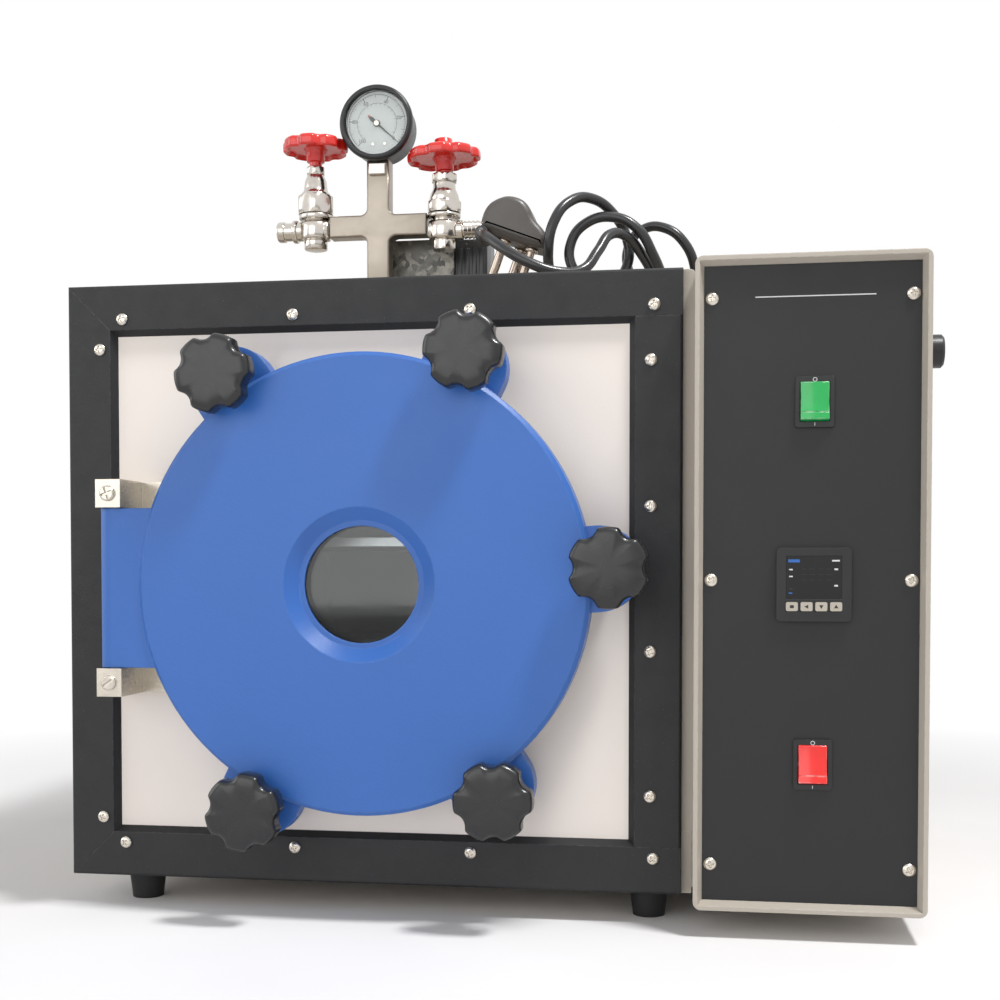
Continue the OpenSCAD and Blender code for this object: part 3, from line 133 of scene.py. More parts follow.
def fluted(r, flutes, flute_r, deep):
    """The radii of a grip's outline, all the way round: a disc with round flutes, its corners softened."""
    n = 240
    rounds_of_softening = 3
    centre = r + flute_r - deep
    radii = []
    for i in range(n):
        a = math.tau * i / n
        off = (a * flutes / math.tau - 0.5) % 1.0
        off = min(off, 1 - off) * math.tau / flutes
        rad = r
        if centre * math.sin(off) < flute_r and off < math.pi / 2:
            rad = min(r, centre * math.cos(off) - math.sqrt(flute_r ** 2 - (centre * math.sin(off)) ** 2))
        radii.append(rad)
    for _ in range(rounds_of_softening):
        radii = [(radii[i - 1] + 2 * radii[i] + radii[(i + 1) % n]) / 4 for i in range(n)]
    return radii


def polar_loop(radii, d, z):
    """The outline with these radii, moved inwards by d and laid at height z."""
    n = len(radii)
    return [((radii[i] - d) * math.cos(math.tau * i / n), (radii[i] - d) * math.sin(math.tau * i / n), z)
            for i in range(n)]


def add_piece(name, bm, body, finish, at=Matrix(), smooth=32, replaces=()):
    """Makes a named piece from a mesh in the oven's millimetres and hangs it on its body."""
    mesh = bpy.data.meshes.new(name)
    bmesh.ops.remove_doubles(bm, verts=bm.verts, dist=0.0005)
    bmesh.ops.recalc_face_normals(bm, faces=bm.faces)
    bm.to_mesh(mesh)
    bm.free()
    mesh.transform(STAND @ at)
    for p in mesh.polygons:
        p.use_smooth = True
    mesh.set_sharp_from_angle(angle=math.radians(smooth))
    obj = bpy.data.objects.new(name, mesh)
    bpy.context.collection.objects.link(obj)
    mesh.materials.append(finish)
    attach(obj, body)
    if replaces:
        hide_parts(*replaces)
    return obj


# ---------- Finishes ----------

class Shader:
    """Node tree of one finish, with short calls for the nodes that the finishes share."""

    def __init__(self, name):
        self.mat = bpy.data.materials.new(name)
        self.mat.use_nodes = True
        self.nodes = self.mat.node_tree.nodes
        self.links = self.mat.node_tree.links
        self.bsdf = self.nodes["Principled BSDF"]
        coord = self.nodes.new("ShaderNodeTexCoord")
        self.place = coord.outputs["Object"]
        self.normal = None
        self.edge = None

    def add(self, kind, inputs=None, **settings):
        node = self.nodes.new("ShaderNode" + kind)
        for key, value in settings.items():
            setattr(node, key, value)
        for key, value in (inputs or {}).items():
            self.put(value, node.inputs[key])
        return node

    def put(self, value, socket):
        if isinstance(value, bpy.types.NodeSocket):
            self.links.new(value, socket)
        else:
            socket.default_value = value

    def noise(self, scale, detail=4.0, rough=0.55, stretch=None):
        place = self.place
        if stretch:
            place = self.add("Mapping", {"Vector": place, "Scale": stretch}).outputs[0]
        inputs = {"Vector": place, "Scale": scale, "Detail": detail, "Roughness": rough}
        return self.add("TexNoise", inputs).outputs["Fac"]

    def cells(self, scale, feature="F1"):
        inputs = {"Vector": self.place, "Scale": scale, "Randomness": 1.0}
        return self.add("TexVoronoi", inputs, feature=feature)

    def ramp(self, fac, low, high, low_value=0.0, high_value=1.0):
        return self.add("MapRange", {"Value": fac, "From Min": low, "From Max": high,
                                     "To Min": low_value, "To Max": high_value}).outputs[0]

    def mix(self, fac, a, b):
        node = self.add("Mix", data_type="RGBA", blend_type="MIX")
        self.put(fac, node.inputs[0])
        self.put(a, node.inputs[6])
        self.put(b, node.inputs[7])
        return node.outputs[2]

    def math(self, kind, a, b=0.0, clamp=False):
        node = self.add("Math", operation=kind, use_clamp=clamp)
        self.put(a, node.inputs[0])
        self.put(b, node.inputs[1])
        return node.outputs[0]

    def soften(self, radius):
        """Rounds the mesh's edges in the light, and keeps how much each place belongs to an edge."""
        self.normal = self.add("Bevel", {"Radius": radius}, samples=4).outputs[0]
        self.links.new(self.normal, self.bsdf.inputs["Normal"])
        flat = self.add("NewGeometry").outputs["Normal"]
        along = self.add("VectorMath", {0: self.normal, 1: flat}, operation="DOT_PRODUCT").outputs["Value"]
        self.edge = self.ramp(along, 0.995, 0.90)

    def bump(self, height, depth, strength=1.0):
        """Lays a relief of the given depth in metres over what is already there."""
        inputs = {"Height": height, "Distance": depth, "Strength": strength}
        if self.normal is not None:
            inputs["Normal"] = self.normal
        self.normal = self.add("Bump", inputs).outputs[0]
        self.links.new(self.normal, self.bsdf.inputs["Normal"])

    def set(self, **sockets):
        for key, value in sockets.items():
            self.put(value, self.bsdf.inputs[key.replace("_", " ")])


def srgb(code):
    """A colour written as #rrggbb, in linear light."""
    parts = [int(code[i:i + 2], 16) / 255 for i in (1, 3, 5)]
    return tuple(c / 12.92 if c <= 0.04045 else ((c + 0.055) / 1.055) ** 2.4 for c in parts) + (1.0,)


def shade(colour, factor):
    return tuple(min(1.0, c * factor) for c in colour[:3]) + (1.0,)


def basic(name, code, rough, metal=0.0, vary=0.05, blotch=18, rough_vary=0.06, grain=0.0, grain_scale=900,
          wear=None, coat=0.0, soft=0.0006):
    """A painted, plated or moulded surface: faint clouds in colour and gloss, a grain, and rubbed edges."""
    s = Shader(name)
    base = srgb(code)
    colour = s.mix(s.ramp(s.noise(blotch, 5), 0.3, 0.7), shade(base, 1 - vary), shade(base, 1 + vary))
    if soft:
        s.soften(soft)
    if wear:
        worn = s.math("MULTIPLY", s.edge, s.ramp(s.noise(220, 6), 0.38, 0.60), clamp=True)
        colour = s.mix(s.math("MULTIPLY", worn, 0.7), colour, srgb(wear))
    smears = s.noise(blotch * 4, 6, 0.7)
    s.set(Base_Color=colour, Metallic=metal,
          Roughness=s.ramp(smears, 0.3, 0.7, max(0.02, rough - rough_vary), min(1.0, rough + rough_vary)))
    if coat:
        s.bsdf.inputs["Coat Weight"].default_value = coat
        s.bsdf.inputs["Coat Roughness"].default_value = 0.12
    if grain:
        s.bump(s.noise(grain_scale, 3, 0.6), grain)
    return s


def powder_black():
    """Black leather-grained powder coat with pale specks of dust."""
    s = basic("frame_black", "#131416", 0.56, vary=0.05, blotch=14, wear="#55565a", soft=0.0009)
    specks = s.cells(620)
    dots = s.ramp(specks.outputs["Distance"], 0.10, 0.02)
    some = s.ramp(s.add("SeparateColor", {"Color": specks.outputs["Color"]}).outputs[0], 0.80, 0.86)
    base = s.bsdf.inputs["Base Color"].links[0].from_socket
    s.set(Base_Color=s.mix(s.math("MULTIPLY", dots, some, clamp=True), base, srgb("#8b8e96")))
    s.bump(s.cells(1500, "SMOOTH_F1").outputs["Distance"], 0.00014, 0.6)
    s.bump(s.noise(420, 3), 0.0001, 0.5)
    return s.mat


def panel_black():
    s = basic("panel_black", "#101112", 0.50, vary=0.03, blotch=8, wear="#4a4b4e")
    s.bump(s.noise(2200, 2), 0.00004, 0.5)
    return s.mat


def blue_paint():
    """Blue powder coat: an orange-peel skin with a soft gloss."""
    s = basic("door_blue", "#3266b4", 0.38, vary=0.025, blotch=6, rough_vary=0.04, wear="#5c88cc",
              soft=0.0012)
    s.bump(s.cells(700, "SMOOTH_F1").outputs["Distance"], 0.00012, 0.35)
    s.bump(s.noise(260, 3), 0.00010, 0.35)
    return s.mat


def cream_paint():
    s = basic("cream_paint", "#f1e8df", 0.5, vary=0.015, blotch=5)
    s.bump(s.cells(900, "SMOOTH_F1").outputs["Distance"], 0.00008, 0.4)
    return s.mat


def case_paint():
    s = basic("case_paint", "#b5ada1", 0.40, vary=0.02, blotch=5, wear="#ddd7cc", soft=0.0010)
    s.bump(s.cells(800, "SMOOTH_F1").outputs["Distance"], 0.00007, 0.4)
    return s.mat


def plated(name, code, rough, brush=None, soft=0.0006):
    """Nickel plate: cloudy gloss, pits and hairlines, brighter where edges are rubbed."""
    s = basic(name, code, rough, metal=1.0, vary=0.07, blotch=45, wear="#f4f0ea", soft=soft)
    if brush:
        s.bump(s.noise(60, 3, 0.7, stretch=brush), 0.00003, 0.5)
    s.bump(s.noise(500, 4), 0.00006, 0.3)
    return s.mat


def galvanised():
    """Zinc coat with its crystal spangle, stained darker in clouds."""
    s = Shader("galvanised")
    s.soften(0.0008)
    cloud = s.add("TexNoise", {"Vector": s.place, "Scale": 55.0, "Detail": 5.0, "Distortion": 1.2})
    push = s.add("VectorMath", {0: cloud.outputs["Color"], 3: 0.012}, operation="SCALE").outputs[0]
    warp = s.add("VectorMath", {0: s.place, 1: push}, operation="ADD").outputs[0]
    spangle = s.add("TexVoronoi", {"Vector": warp, "Scale": 240.0})
    tone = s.add("SeparateColor", {"Color": spangle.outputs["Color"]}).outputs[1]
    colour = s.mix(s.ramp(tone, 0.1, 0.9), srgb("#3c3c3a"), srgb("#8d8b84"))
    colour = s.mix(s.ramp(cloud.outputs["Fac"], 0.42, 0.66), colour, srgb("#55544f"))
    s.set(Base_Color=colour, Metallic=0.75, Roughness=s.ramp(tone, 0, 1, 0.28, 0.52))
    s.bump(tone, 0.00005, 0.6)
    return s.mat


def moulded(name, code, rough, grain=0.00003, coat=0.0, vary=0.05, soft=0.0004):
    """Moulded rubber or plastic with a fine grain."""
    s = basic(name, code, rough, vary=vary, blotch=30, grain=grain, grain_scale=1300, coat=coat, soft=soft)
    return s.mat


def rocker_plastic(name, code):
    """Tinted clear plastic with a faint painted glow: an even emission in its own colour stands in for light
    falling through it.
    """
    s = basic(name, code, 0.22, vary=0.07, blotch=90, coat=0.4, wear="#f2f4f2", soft=0.0007)
    base = srgb(code)
    # Painted glow: the rocker emits a little of its own colour all over, as if lit through, though it holds
    # no lamp
    s.bsdf.inputs["Emission Color"].default_value = base
    s.bsdf.inputs["Emission Strength"].default_value = 0.12
    s.bsdf.inputs["Subsurface Weight"].default_value = 0.25
    s.bsdf.inputs["Subsurface Radius"].default_value = (0.004, 0.004, 0.004)
    return s.mat


def plug_plastic():
    s = basic("plug_grey", "#4f4b48", 0.38, vary=0.10, blotch=60, grain=0.00003, wear="#8f8a84", soft=0.0008)
    return s.mat


def clear_glass():
    """Window glass with faint smears."""
    s = Shader("sight_glass")
    rough = 0.02
    smear = s.ramp(s.noise(70, 6, 0.7), 0.4, 0.8, rough, rough + 0.06)
    s.set(Base_Color=srgb("#f4f8f8"), Roughness=smear)
    s.bsdf.inputs["Transmission Weight"].default_value = 1.0
    s.bsdf.inputs["IOR"].default_value = 1.46
    return s.mat


def shaded_chamber_steel():
    """The chamber's stainless steel, darker than the other steel as painted shade for the dark inside the
    chamber.
    """
    return basic("shaded_chamber_steel", "#8b8b88", 0.38, metal=1.0, vary=0.08, blotch=30, soft=0).mat


def wool():
    s = basic("glass_wool", "#d9cfae", 0.95, vary=0.15, blotch=60, grain=0.0008, grain_scale=180, soft=0)
    return s.mat


FRAME_BLACK = powder_black()
PANEL_BLACK = panel_black()
BLUE = blue_paint()
CREAM = cream_paint()
CASE = case_paint()
NICKEL = plated("cast_nickel", "#9b9388", 0.34)
CHROME = plated("valve_chrome", "#cfc9c1", 0.17, soft=0.0004)
BRACKET = plated("bracket_nickel", "#c9c2b6", 0.24, brush=(1, 1, 14))
SCREW = plated("screw_zinc", "#d6cfc4", 0.24, soft=0.0002)
STEEL = plated("satin_steel", "#b3b4b5", 0.36)
# The chamber's steel is darker than the satin steel: painted shade for the inside of the chamber
CHAMBER = shaded_chamber_steel()
GALVANISED = galvanised()
RED = moulded("handwheel_red", "#d4221a", 0.22, coat=0.5, vary=0.03)
KNOB = moulded("knob_black", "#17181a", 0.30, coat=0.15)
BLACK = moulded("moulded_black", "#191a1c", 0.34)
RUBBER = moulded("foot_rubber", "#151617", 0.60, grain=0.00006, soft=0.001)
CORD = moulded("cord_pvc", "#222325", 0.30, grain=0.00002, coat=0.15, soft=0)
PLUG = plug_plastic()
PIN = plated("plug_pin", "#b9aca0", 0.25, soft=0.0003)
GREEN = rocker_plastic("rocker_green", "#12a04c")
ROCKER_RED = rocker_plastic("rocker_red", "#e2241f")
GLASS = clear_glass()
GASKET = moulded("gasket_silicone", "#b5503f", 0.5)
BUTTON = moulded("button_beige", "#b5ada0", 0.45, soft=0.0003)
DIAL = basic("dial_white", "#e6e7e4", 0.55, vary=0.012, blotch=120, soft=0).mat
INK = basic("ink_black", "#1e2022", 0.6, vary=0.1, blotch=300, soft=0).mat
PRINT = basic("print_white", "#d4d5d6", 0.55, vary=0.05, blotch=400, soft=0).mat
MARK_RED = basic("mark_red", "#b8413a", 0.5, vary=0.1, blotch=300, soft=0).mat
SCREEN = basic("screen_black", "#08090c", 0.10, vary=0.2, blotch=60, rough_vary=0.03, soft=0).mat
SCREEN_BLUE = basic("screen_blue", "#2d66b4", 0.3, vary=0.1, blotch=200, soft=0).mat
WOOL = wool()

finishes = {
    "cabinet_shell": CASE, "base_pan": CASE, "rear_panel": CASE, "front_panel": CREAM,
    "frame_top_rail": FRAME_BLACK, "frame_bottom_rail": FRAME_BLACK,
    "frame_left_rail": FRAME_BLACK, "frame_right_rail": FRAME_BLACK,
    "pan_head_screws": SCREW, "rubber_feet": RUBBER, "chamber": CHAMBER, "chamber_flange": STEEL,
    "door_gasket": GASKET, "lower_shelf": STEEL, "upper_shelf": STEEL, "heater_bands": STEEL,
    "insulation_jacket": WOOL, "temperature_probe": STEEL, "suction_pipe": STEEL,
    "terminal_box": GALVANISED, "manifold_cross": NICKEL, "vent_valve_body": CHROME,
    "vacuum_valve_body": CHROME, "gauge_case": BLACK, "gauge_dial": DIAL, "gauge_glass": GLASS,
    "gauge_needle": INK, "hinge_brackets": BRACKET, "hinge_pin": BRACKET, "control_box": CASE,
    "control_panel": PANEL_BLACK, "switch_housings": BLACK, "controller_case": BLACK,
    "controller_window": SCREEN, "fuse_holder": BLACK, "cord_gland": BLACK, "mains_cord": CORD,
    "cord_coil": CORD, "mains_plug": PLUG, "door": BLUE, "sight_glass": GLASS, "glass_ring": STEEL,
    "vent_handwheel": RED, "vacuum_handwheel": RED, "mains_rocker": GREEN, "heating_rocker": ROCKER_RED,
    "set_button": BUTTON, "shift_button": BUTTON, "down_button": BUTTON, "up_button": BUTTON,
}
for i in range(1, 6):
    finishes["clamp_washer_%d" % i] = SCREW
    finishes["clamp_knob_%d" % i] = KNOB
for name, obj in frame["nodes"].items():
    obj.data.materials.clear()
    obj.data.materials.append(finishes[name])

BODY = {name: body for body, names in frame["record"]["behaviour"]["bodies"].items() for name in names}
ROOT = BODY["cabinet_shell"]


# ---------- Camera ----------

camera_data = bpy.data.cameras.new("camera")
camera_data.lens = 50.8
camera_data.sensor_width = 36
camera_data.shift_y = 0.11
camera_data.clip_start = 0.05
camera_data.clip_end = 30
camera = bpy.data.objects.new("camera", camera_data)
bpy.context.collection.objects.link(camera)
camera.location = (0.1505, -1.1024, 0.2295)
camera.rotation_euler = (math.radians(88.3), 0, math.radians(8.9))
bpy.context.scene.camera = camera


# ---------- Star knobs ----------

# The door's middle in X and Z, the circle that the knobs stand on, and how far before the frame they start
DOOR_AT = (4.5, 219.0)
KNOB_CIRCLE_R = 160.0
KNOB_BACK = 40.15
# Where the lugs are round the door, and how far each knob happens to be turned
LUG_ANGLES = (120, 60, 0, -60, -120)
LUGS_TURNED_BY = 3.8
KNOB_TURNS = (12, 52, 30, 2, 20)


def star_knob(i):
    """A moulded star knob with its collar and the stud it is moulded on."""
    bm = bmesh.new()
    grip = fluted(25.0, 6, 8.6, 3.5)
    round_edge = [(11.0, 5.2), (6.0, 5.05), (1.6, 5.0), (0.6, 5.3), (0.1, 6.0), (0.0, 7.2), (0.0, 14.4),
                  (0.15, 16.0), (0.7, 17.4), (1.7, 18.5), (3.2, 19.2), (5.5, 19.6), (9.0, 19.85),
                  (13.0, 19.95), (17.0, 20.0)]
    loft(bm, [polar_loop(grip, d, z) for d, z in round_edge])
    lathe(bm, [(12.0, 0.0), (12.4, 0.4), (12.4, 3.6), (13.2, 4.6), (15.0, 5.3)], 48)
    lathe(bm, [(3.9, -38.6), (5.0, -37.6), (5.0, 0.5)], 32)
    angle = LUG_ANGLES[i] + LUGS_TURNED_BY
    door = shift(DOOR_AT[0], 0, DOOR_AT[1]) @ FRONT
    at = door @ turn(angle) @ shift(KNOB_CIRCLE_R, 0, KNOB_BACK) @ turn(KNOB_TURNS[i] - angle)
    node = "clamp_knob_%d" % (i + 1)
    add_piece("star_knob_%d" % (i + 1), bm, BODY[node], KNOB, at, smooth=50, replaces=(node,))


for i in range(5):
    star_knob(i)


# ---------- Handwheels and valves ----------

MANIFOLD_Y = 100.0
ROOF = 420.0
VENT_X = -62.0
VACUUM_X = 33.5
NOZZLE_ROOT = 9.5
NUT_TURN = 15


def handwheel(name, node, x, d, low, high, cap_h, lean=0.0):
    """A fluted handwheel: a dished underside, a rounded rim, its hub, spindle and cap."""
    bm = bmesh.new()
    rim = fluted(d / 2, 8, 5.8, 2.4)
    r = d / 2
    round_edge = [(r - 7.0, low + 2.6), (r - 10.0, low + 2.4), (3.6, low + 2.2), (2.8, low + 1.2),
                  (2.2, low + 0.3), (1.5, low), (0.7, low + 0.2), (0.15, low + 0.9), (0.0, low + 2.0),
                  (0.0, high - 3.0), (0.3, high - 1.7), (1.1, high - 0.7), (2.3, high - 0.15), (4.0, high),
                  (9.0, high - 0.3), (r - 8.0, high - 0.6)]
    loft(bm, [polar_loop(rim, d_in, z) for d_in, z in round_edge])
    lathe(bm, [(8.6, low + 2.6), (7.4, low + 0.6), (6.6, low - 1.0), (6.5, low - 6.6), (6.1, low - 7.0)], 48)
    lathe(bm, [(6.5, high - 0.8), (6.5, high + cap_h - 0.6), (5.9, high + cap_h)], 48)
    lathe(bm, [(4.0, low - 26.0), (4.5, low - 25.4), (4.5, low - 6.0)], 32)
    at = shift(x, MANIFOLD_Y, ROOF) @ shift(0, 0, low) @ turn(lean, "Y") @ shift(0, 0, -low)
    add_piece(name, bm, BODY[node], RED, at, smooth=50, replaces=(node,))


handwheel("vent_wheel_grip", "vent_handwheel", VENT_X, 47.5, 112, 120.5, 2)
handwheel("vacuum_wheel_grip", "vacuum_handwheel", VACUUM_X, 53, 101.5, 109, 8.5, lean=-2.5)


def lying(x, z, side):
    """Points a shape's Z along the arms: to the left for side -1, to the right for side 1."""
    return shift(x, MANIFOLD_Y, ROOF + z) @ turn(90 * side, "Y")


def valve(name, node, x, side, parts, nozzle, nozzle_z):
    """A needle valve's body: turned barrels and nuts in a row, a stub on its arm, and a hose nozzle."""
    bm = bmesh.new()
    at = shift(x, MANIFOLD_Y, ROOF)
    for kind, data in parts:
        if kind == "turned":
            lathe(bm, data, 48, at)
        else:
            flats, low, high, chamfer = data
            nut(bm, flats, low, high, chamfer, at @ turn(NUT_TURN))
    lathe(bm, [(7.6, 2.0), (7.9, 3.0), (7.9, 9.4), (7.3, 10.4)], 40, lying(x, nozzle_z, -side))
    lathe(bm, nozzle, 40, lying(x + side * NOZZLE_ROOT, nozzle_z, side))
    add_piece(name, bm, ROOT, CHROME, smooth=38, replaces=(node,))


# A turned part is a profile of (radius, height) pairs; a nut is (across its flats, low, high, chamfer)
VENT_PARTS = [
    ("turned", [(6.6, 41.35), (8.0, 41.7), (8.5, 42.4), (8.5, 47.4), (8.0, 48.0), (8.0, 48.8)]),
    ("turned", [(8.6, 48.4), (10.3, 49.2), (10.8, 50.2), (10.8, 59.8), (10.0, 61.0), (8.3, 61.9),
                (8.1, 63.2)]),
    ("turned", [(8.1, 63.0), (11.9, 63.3), (12.3, 64.1), (12.3, 65.9), (11.9, 66.6), (9.0, 67.0)]),
    ("nut", (25.0, 66.95, 80.35, 1.7)),
    ("turned", [(10.9, 80.0), (10.9, 81.2), (10.3, 82.4), (9.0, 83.6), (8.5, 86.0), (7.9, 91.0), (6.6, 94.4),
                (5.9, 96.0)]),
    ("nut", (12.6, 95.85, 101.4, 0.8)),
    ("turned", [(5.3, 101.2), (5.3, 101.7), (4.8, 101.85)]),
]
VENT_NOZZLE = [(6.9, 0.0), (6.9, 3.4), (8.0, 3.8), (8.3, 4.4), (8.3, 6.4), (7.9, 7.0), (6.5, 7.5),
               (6.5, 13.0), (7.4, 13.6), (7.4, 17.4), (6.9, 18.4), (5.2, 18.5), (4.9, 18.1), (4.9, 9.0)]
VACUUM_PARTS = [
    ("nut", (15.6, 38.35, 45.4, 0.9)),
    ("turned", [(8.4, 45.2), (10.4, 46.2), (10.9, 47.2), (10.9, 56.8), (10.0, 58.0), (8.4, 58.9),
                (8.2, 60.8)]),
    ("turned", [(8.2, 60.6), (11.4, 61.2), (11.9, 61.9), (11.9, 63.1), (11.4, 63.8), (9.0, 64.4)]),
    ("nut", (23.5, 64.55, 73.0, 1.6)),
    ("turned", [(10.6, 72.8), (10.8, 74.6), (10.2, 77.6), (9.0, 80.2), (8.2, 82.0), (8.1, 84.4),
                (7.6, 86.6)]),
    ("nut", (17.6, 86.55, 92.3, 0.9)),
    ("turned", [(6.4, 92.1), (6.4, 92.45), (5.6, 92.55)]),
]
VACUUM_NOZZLE = [(6.9, 0.0), (6.9, 4.2), (5.2, 4.6), (5.2, 5.4), (6.5, 5.6), (5.5, 8.4), (6.5, 8.6),
                 (5.5, 11.4), (6.5, 11.6), (5.5, 14.4), (6.5, 14.6), (5.4, 18.2), (4.9, 18.5), (4.1, 18.3),
                 (4.0, 9.0)]

valve("vent_valve", "vent_valve_body", VENT_X, -1, VENT_PARTS, VENT_NOZZLE, 55.35)
valve("vacuum_valve", "vacuum_valve_body", VACUUM_X, 1, VACUUM_PARTS, VACUUM_NOZZLE, 52.35)


# ---------- Manifold ----------

MANIFOLD_X = -14.0
MANIFOLD_AT = shift(MANIFOLD_X, MANIFOLD_Y, ROOF)
BLOCK_Z = 100.9


def cross_outline():
    """The manifold's cross seen from the front, its inner corners filleted."""
    stem, low, high = 8.25, 6.0, 103.25
    bottom, top = 48.75, 64.25
    left, right, r = -36.0, 35.5, 5.0

    def fillet(cx, cz, start, sweep):
        return [(cx + r * math.cos(math.radians(start + sweep * k / 6)),
                 cz + r * math.sin(math.radians(start + sweep * k / 6))) for k in range(7)]

    points = [(-stem, low), (stem, low)]
    points += fillet(stem + r, bottom - r, 180, -90) + [(right, bottom), (right, top)]
    points += fillet(stem + r, top + r, 270, -90) + [(stem, high), (-stem, high)]
    points += fillet(-stem - r, top + r, 0, -90) + [(left, top), (left, bottom)]
    points += fillet(-stem - r, bottom - r, 90, -90)
    return points


def manifold_body():
    bm = bmesh.new()
    flat = [(x, z, 0.0) for x, z in cross_outline()]
    edge = [(1.5, 7.0), (0.85, 6.85), (0.35, 6.45), (0.08, 5.9), (0.0, 5.2)]
    front_half = [inset(flat, d, -z) for d, z in edge]
    rear_half = [inset(flat, d, z) for d, z in reversed(edge)]
    loft(bm, front_half + rear_half, MANIFOLD_AT @ FRONT)
    foot = [(17.25, 0.0), (17.25, 4.6), (16.8, 5.6), (15.9, 6.0), (10.5, 6.05), (9.2, 7.4), (8.6, 9.0)]
    lathe(bm, foot, 64, MANIFOLD_AT)
    add_piece("manifold_body", bm, ROOT, NICKEL, smooth=40, replaces=("manifold_cross",))


def gauge_lock_nut():
    """The plate on the front of the stem, and a square block in the stem's top."""
    bm = bmesh.new()
    box(bm, (-6.3, 92.25, 6.4), (6.3, 100.85, 9.5), MANIFOLD_AT @ FRONT, soft=1.0)
    lathe(bm, [(9.8, 0.0), (9.8, 1.6), (9.2, 2.1)], 4, MANIFOLD_AT @ shift(0, 0, BLOCK_Z) @ turn(45))
    add_piece("gauge_lock_nut", bm, ROOT, CHROME, smooth=35)


manifold_body()
gauge_lock_nut()


# ---------- Gauge ----------

GAUGE_AT = shift(MANIFOLD_X, 86.0, 548.5) @ FRONT
# The scale in degrees, the radius of its outer ends and the height of its print
SCALE_START = -42
SCALE_SWEEP = 270
SCALE_R = 20.7
PRINT_Z = -5.97


def figure(bm, text, size, at):
    """Adds a plain number to a mesh."""
    curve = bpy.data.curves.new("figure", "FONT")
    curve.body = text
    curve.size = size
    curve.align_x = "CENTER"
    curve.align_y = "CENTER"
    curve.extrude = 0.03
    obj = bpy.data.objects.new("figure", curve)
    bpy.context.collection.objects.link(obj)
    mesh = bpy.data.meshes.new_from_object(obj.evaluated_get(bpy.context.evaluated_depsgraph_get()))
    start = len(bm.verts)
    bm.from_mesh(mesh)
    bm.verts.ensure_lookup_table()
    for v in bm.verts[start:]:
        v.co = at @ v.co
    bpy.data.objects.remove(obj)
    bpy.data.curves.remove(curve)
    bpy.data.meshes.remove(mesh)


def gauge_bezel():
    """The case with its rolled rim and the block that the stem enters."""
    bm = bmesh.new()
    lathe(bm, [(22.4, -28.0), (23.6, -27.7), (24.4, -26.9), (24.6, -25.8), (24.6, -8.6), (24.9, -7.6),
               (26.2, -6.7), (26.7, -5.6), (26.75, -4.2), (26.75, -2.4), (26.4, -1.2), (25.7, -0.4),
               (24.8, -0.05), (23.9, 0.0), (23.2, -0.3), (22.9, -0.9), (22.85, -2.0), (22.85, -6.7),
               (19.85, -6.8), (19.85, -25.8)], 96, GAUGE_AT)
    box(bm, (-7, -26.4, -20), (7, -19.0, -8), GAUGE_AT, soft=0.8)
    add_piece("gauge_bezel", bm, ROOT, BLACK, smooth=40, replaces=("gauge_case",))


def printed_arc(bm, r_in, r_out):
    """A thin ring along the whole scale."""
    steps = 60
    span = [math.radians(SCALE_START + SCALE_SWEEP * k / steps) for k in range(steps + 1)]
    inner, outer = [
        [bm.verts.new(GAUGE_AT @ Vector((r * math.cos(a), r * math.sin(a), PRINT_Z))) for a in span]
        for r in (r_in, r_out)]
    for i in range(steps):
        bm.faces.new((inner[i], outer[i], outer[i + 1], inner[i + 1]))


def printed_tick(bm, angle, r_in, r_out, half_width):
    """A line of the scale, which points at the dial's middle."""
    at = GAUGE_AT @ turn(angle) @ shift(0, 0, PRINT_Z + 0.01)
    corners = ((r_in, -half_width), (r_out, -half_width), (r_out, half_width), (r_in, half_width))
    bm.faces.new([bm.verts.new(at @ Vector((x, y, 0))) for x, y in corners])


def dial_print():
    """Two arcs, fifty outer and twenty inner divisions, and the figures 0 to 100."""
    bm = bmesh.new()
    printed_arc(bm, 20.55, 20.85)
    printed_arc(bm, 14.4, 14.62)
    for k in range(51):
        length, half_width = (3.0, 0.24) if k % 10 == 0 else (2.2, 0.16) if k % 5 == 0 else (1.3, 0.10)
        printed_tick(bm, SCALE_START + SCALE_SWEEP * k / 50, SCALE_R - length, SCALE_R, half_width)
    for k in range(21):
        printed_tick(bm, SCALE_START + SCALE_SWEEP * k / 20, 12.9, 14.4, 0.09)
    figures_r = 16.4
    for k in range(6):
        a = math.radians(SCALE_START + SCALE_SWEEP * k / 5)
        at = GAUGE_AT @ shift(figures_r * math.cos(a), figures_r * math.sin(a), PRINT_Z)
        figure(bm, str(20 * k), 3.6, at)
    add_piece("dial_print", bm, ROOT, INK)


def dial_screws():
    """The dial's two screws and the boss that the needle turns on."""
    bm = bmesh.new()
    for x in (-3.1, 5.7):
        lathe(bm, [(1.35, 0.0), (1.35, 0.35), (1.1, 0.55), (0.2, 0.6)], 24, GAUGE_AT @ shift(x, -14.5, -6.0))
    lathe(bm, [(2.3, 0.0), (2.3, 1.7), (1.9, 2.0), (0.4, 2.1)], 32, GAUGE_AT @ shift(0, 0, -5.9))
    add_piece("dial_screws", bm, ROOT, SCREW)


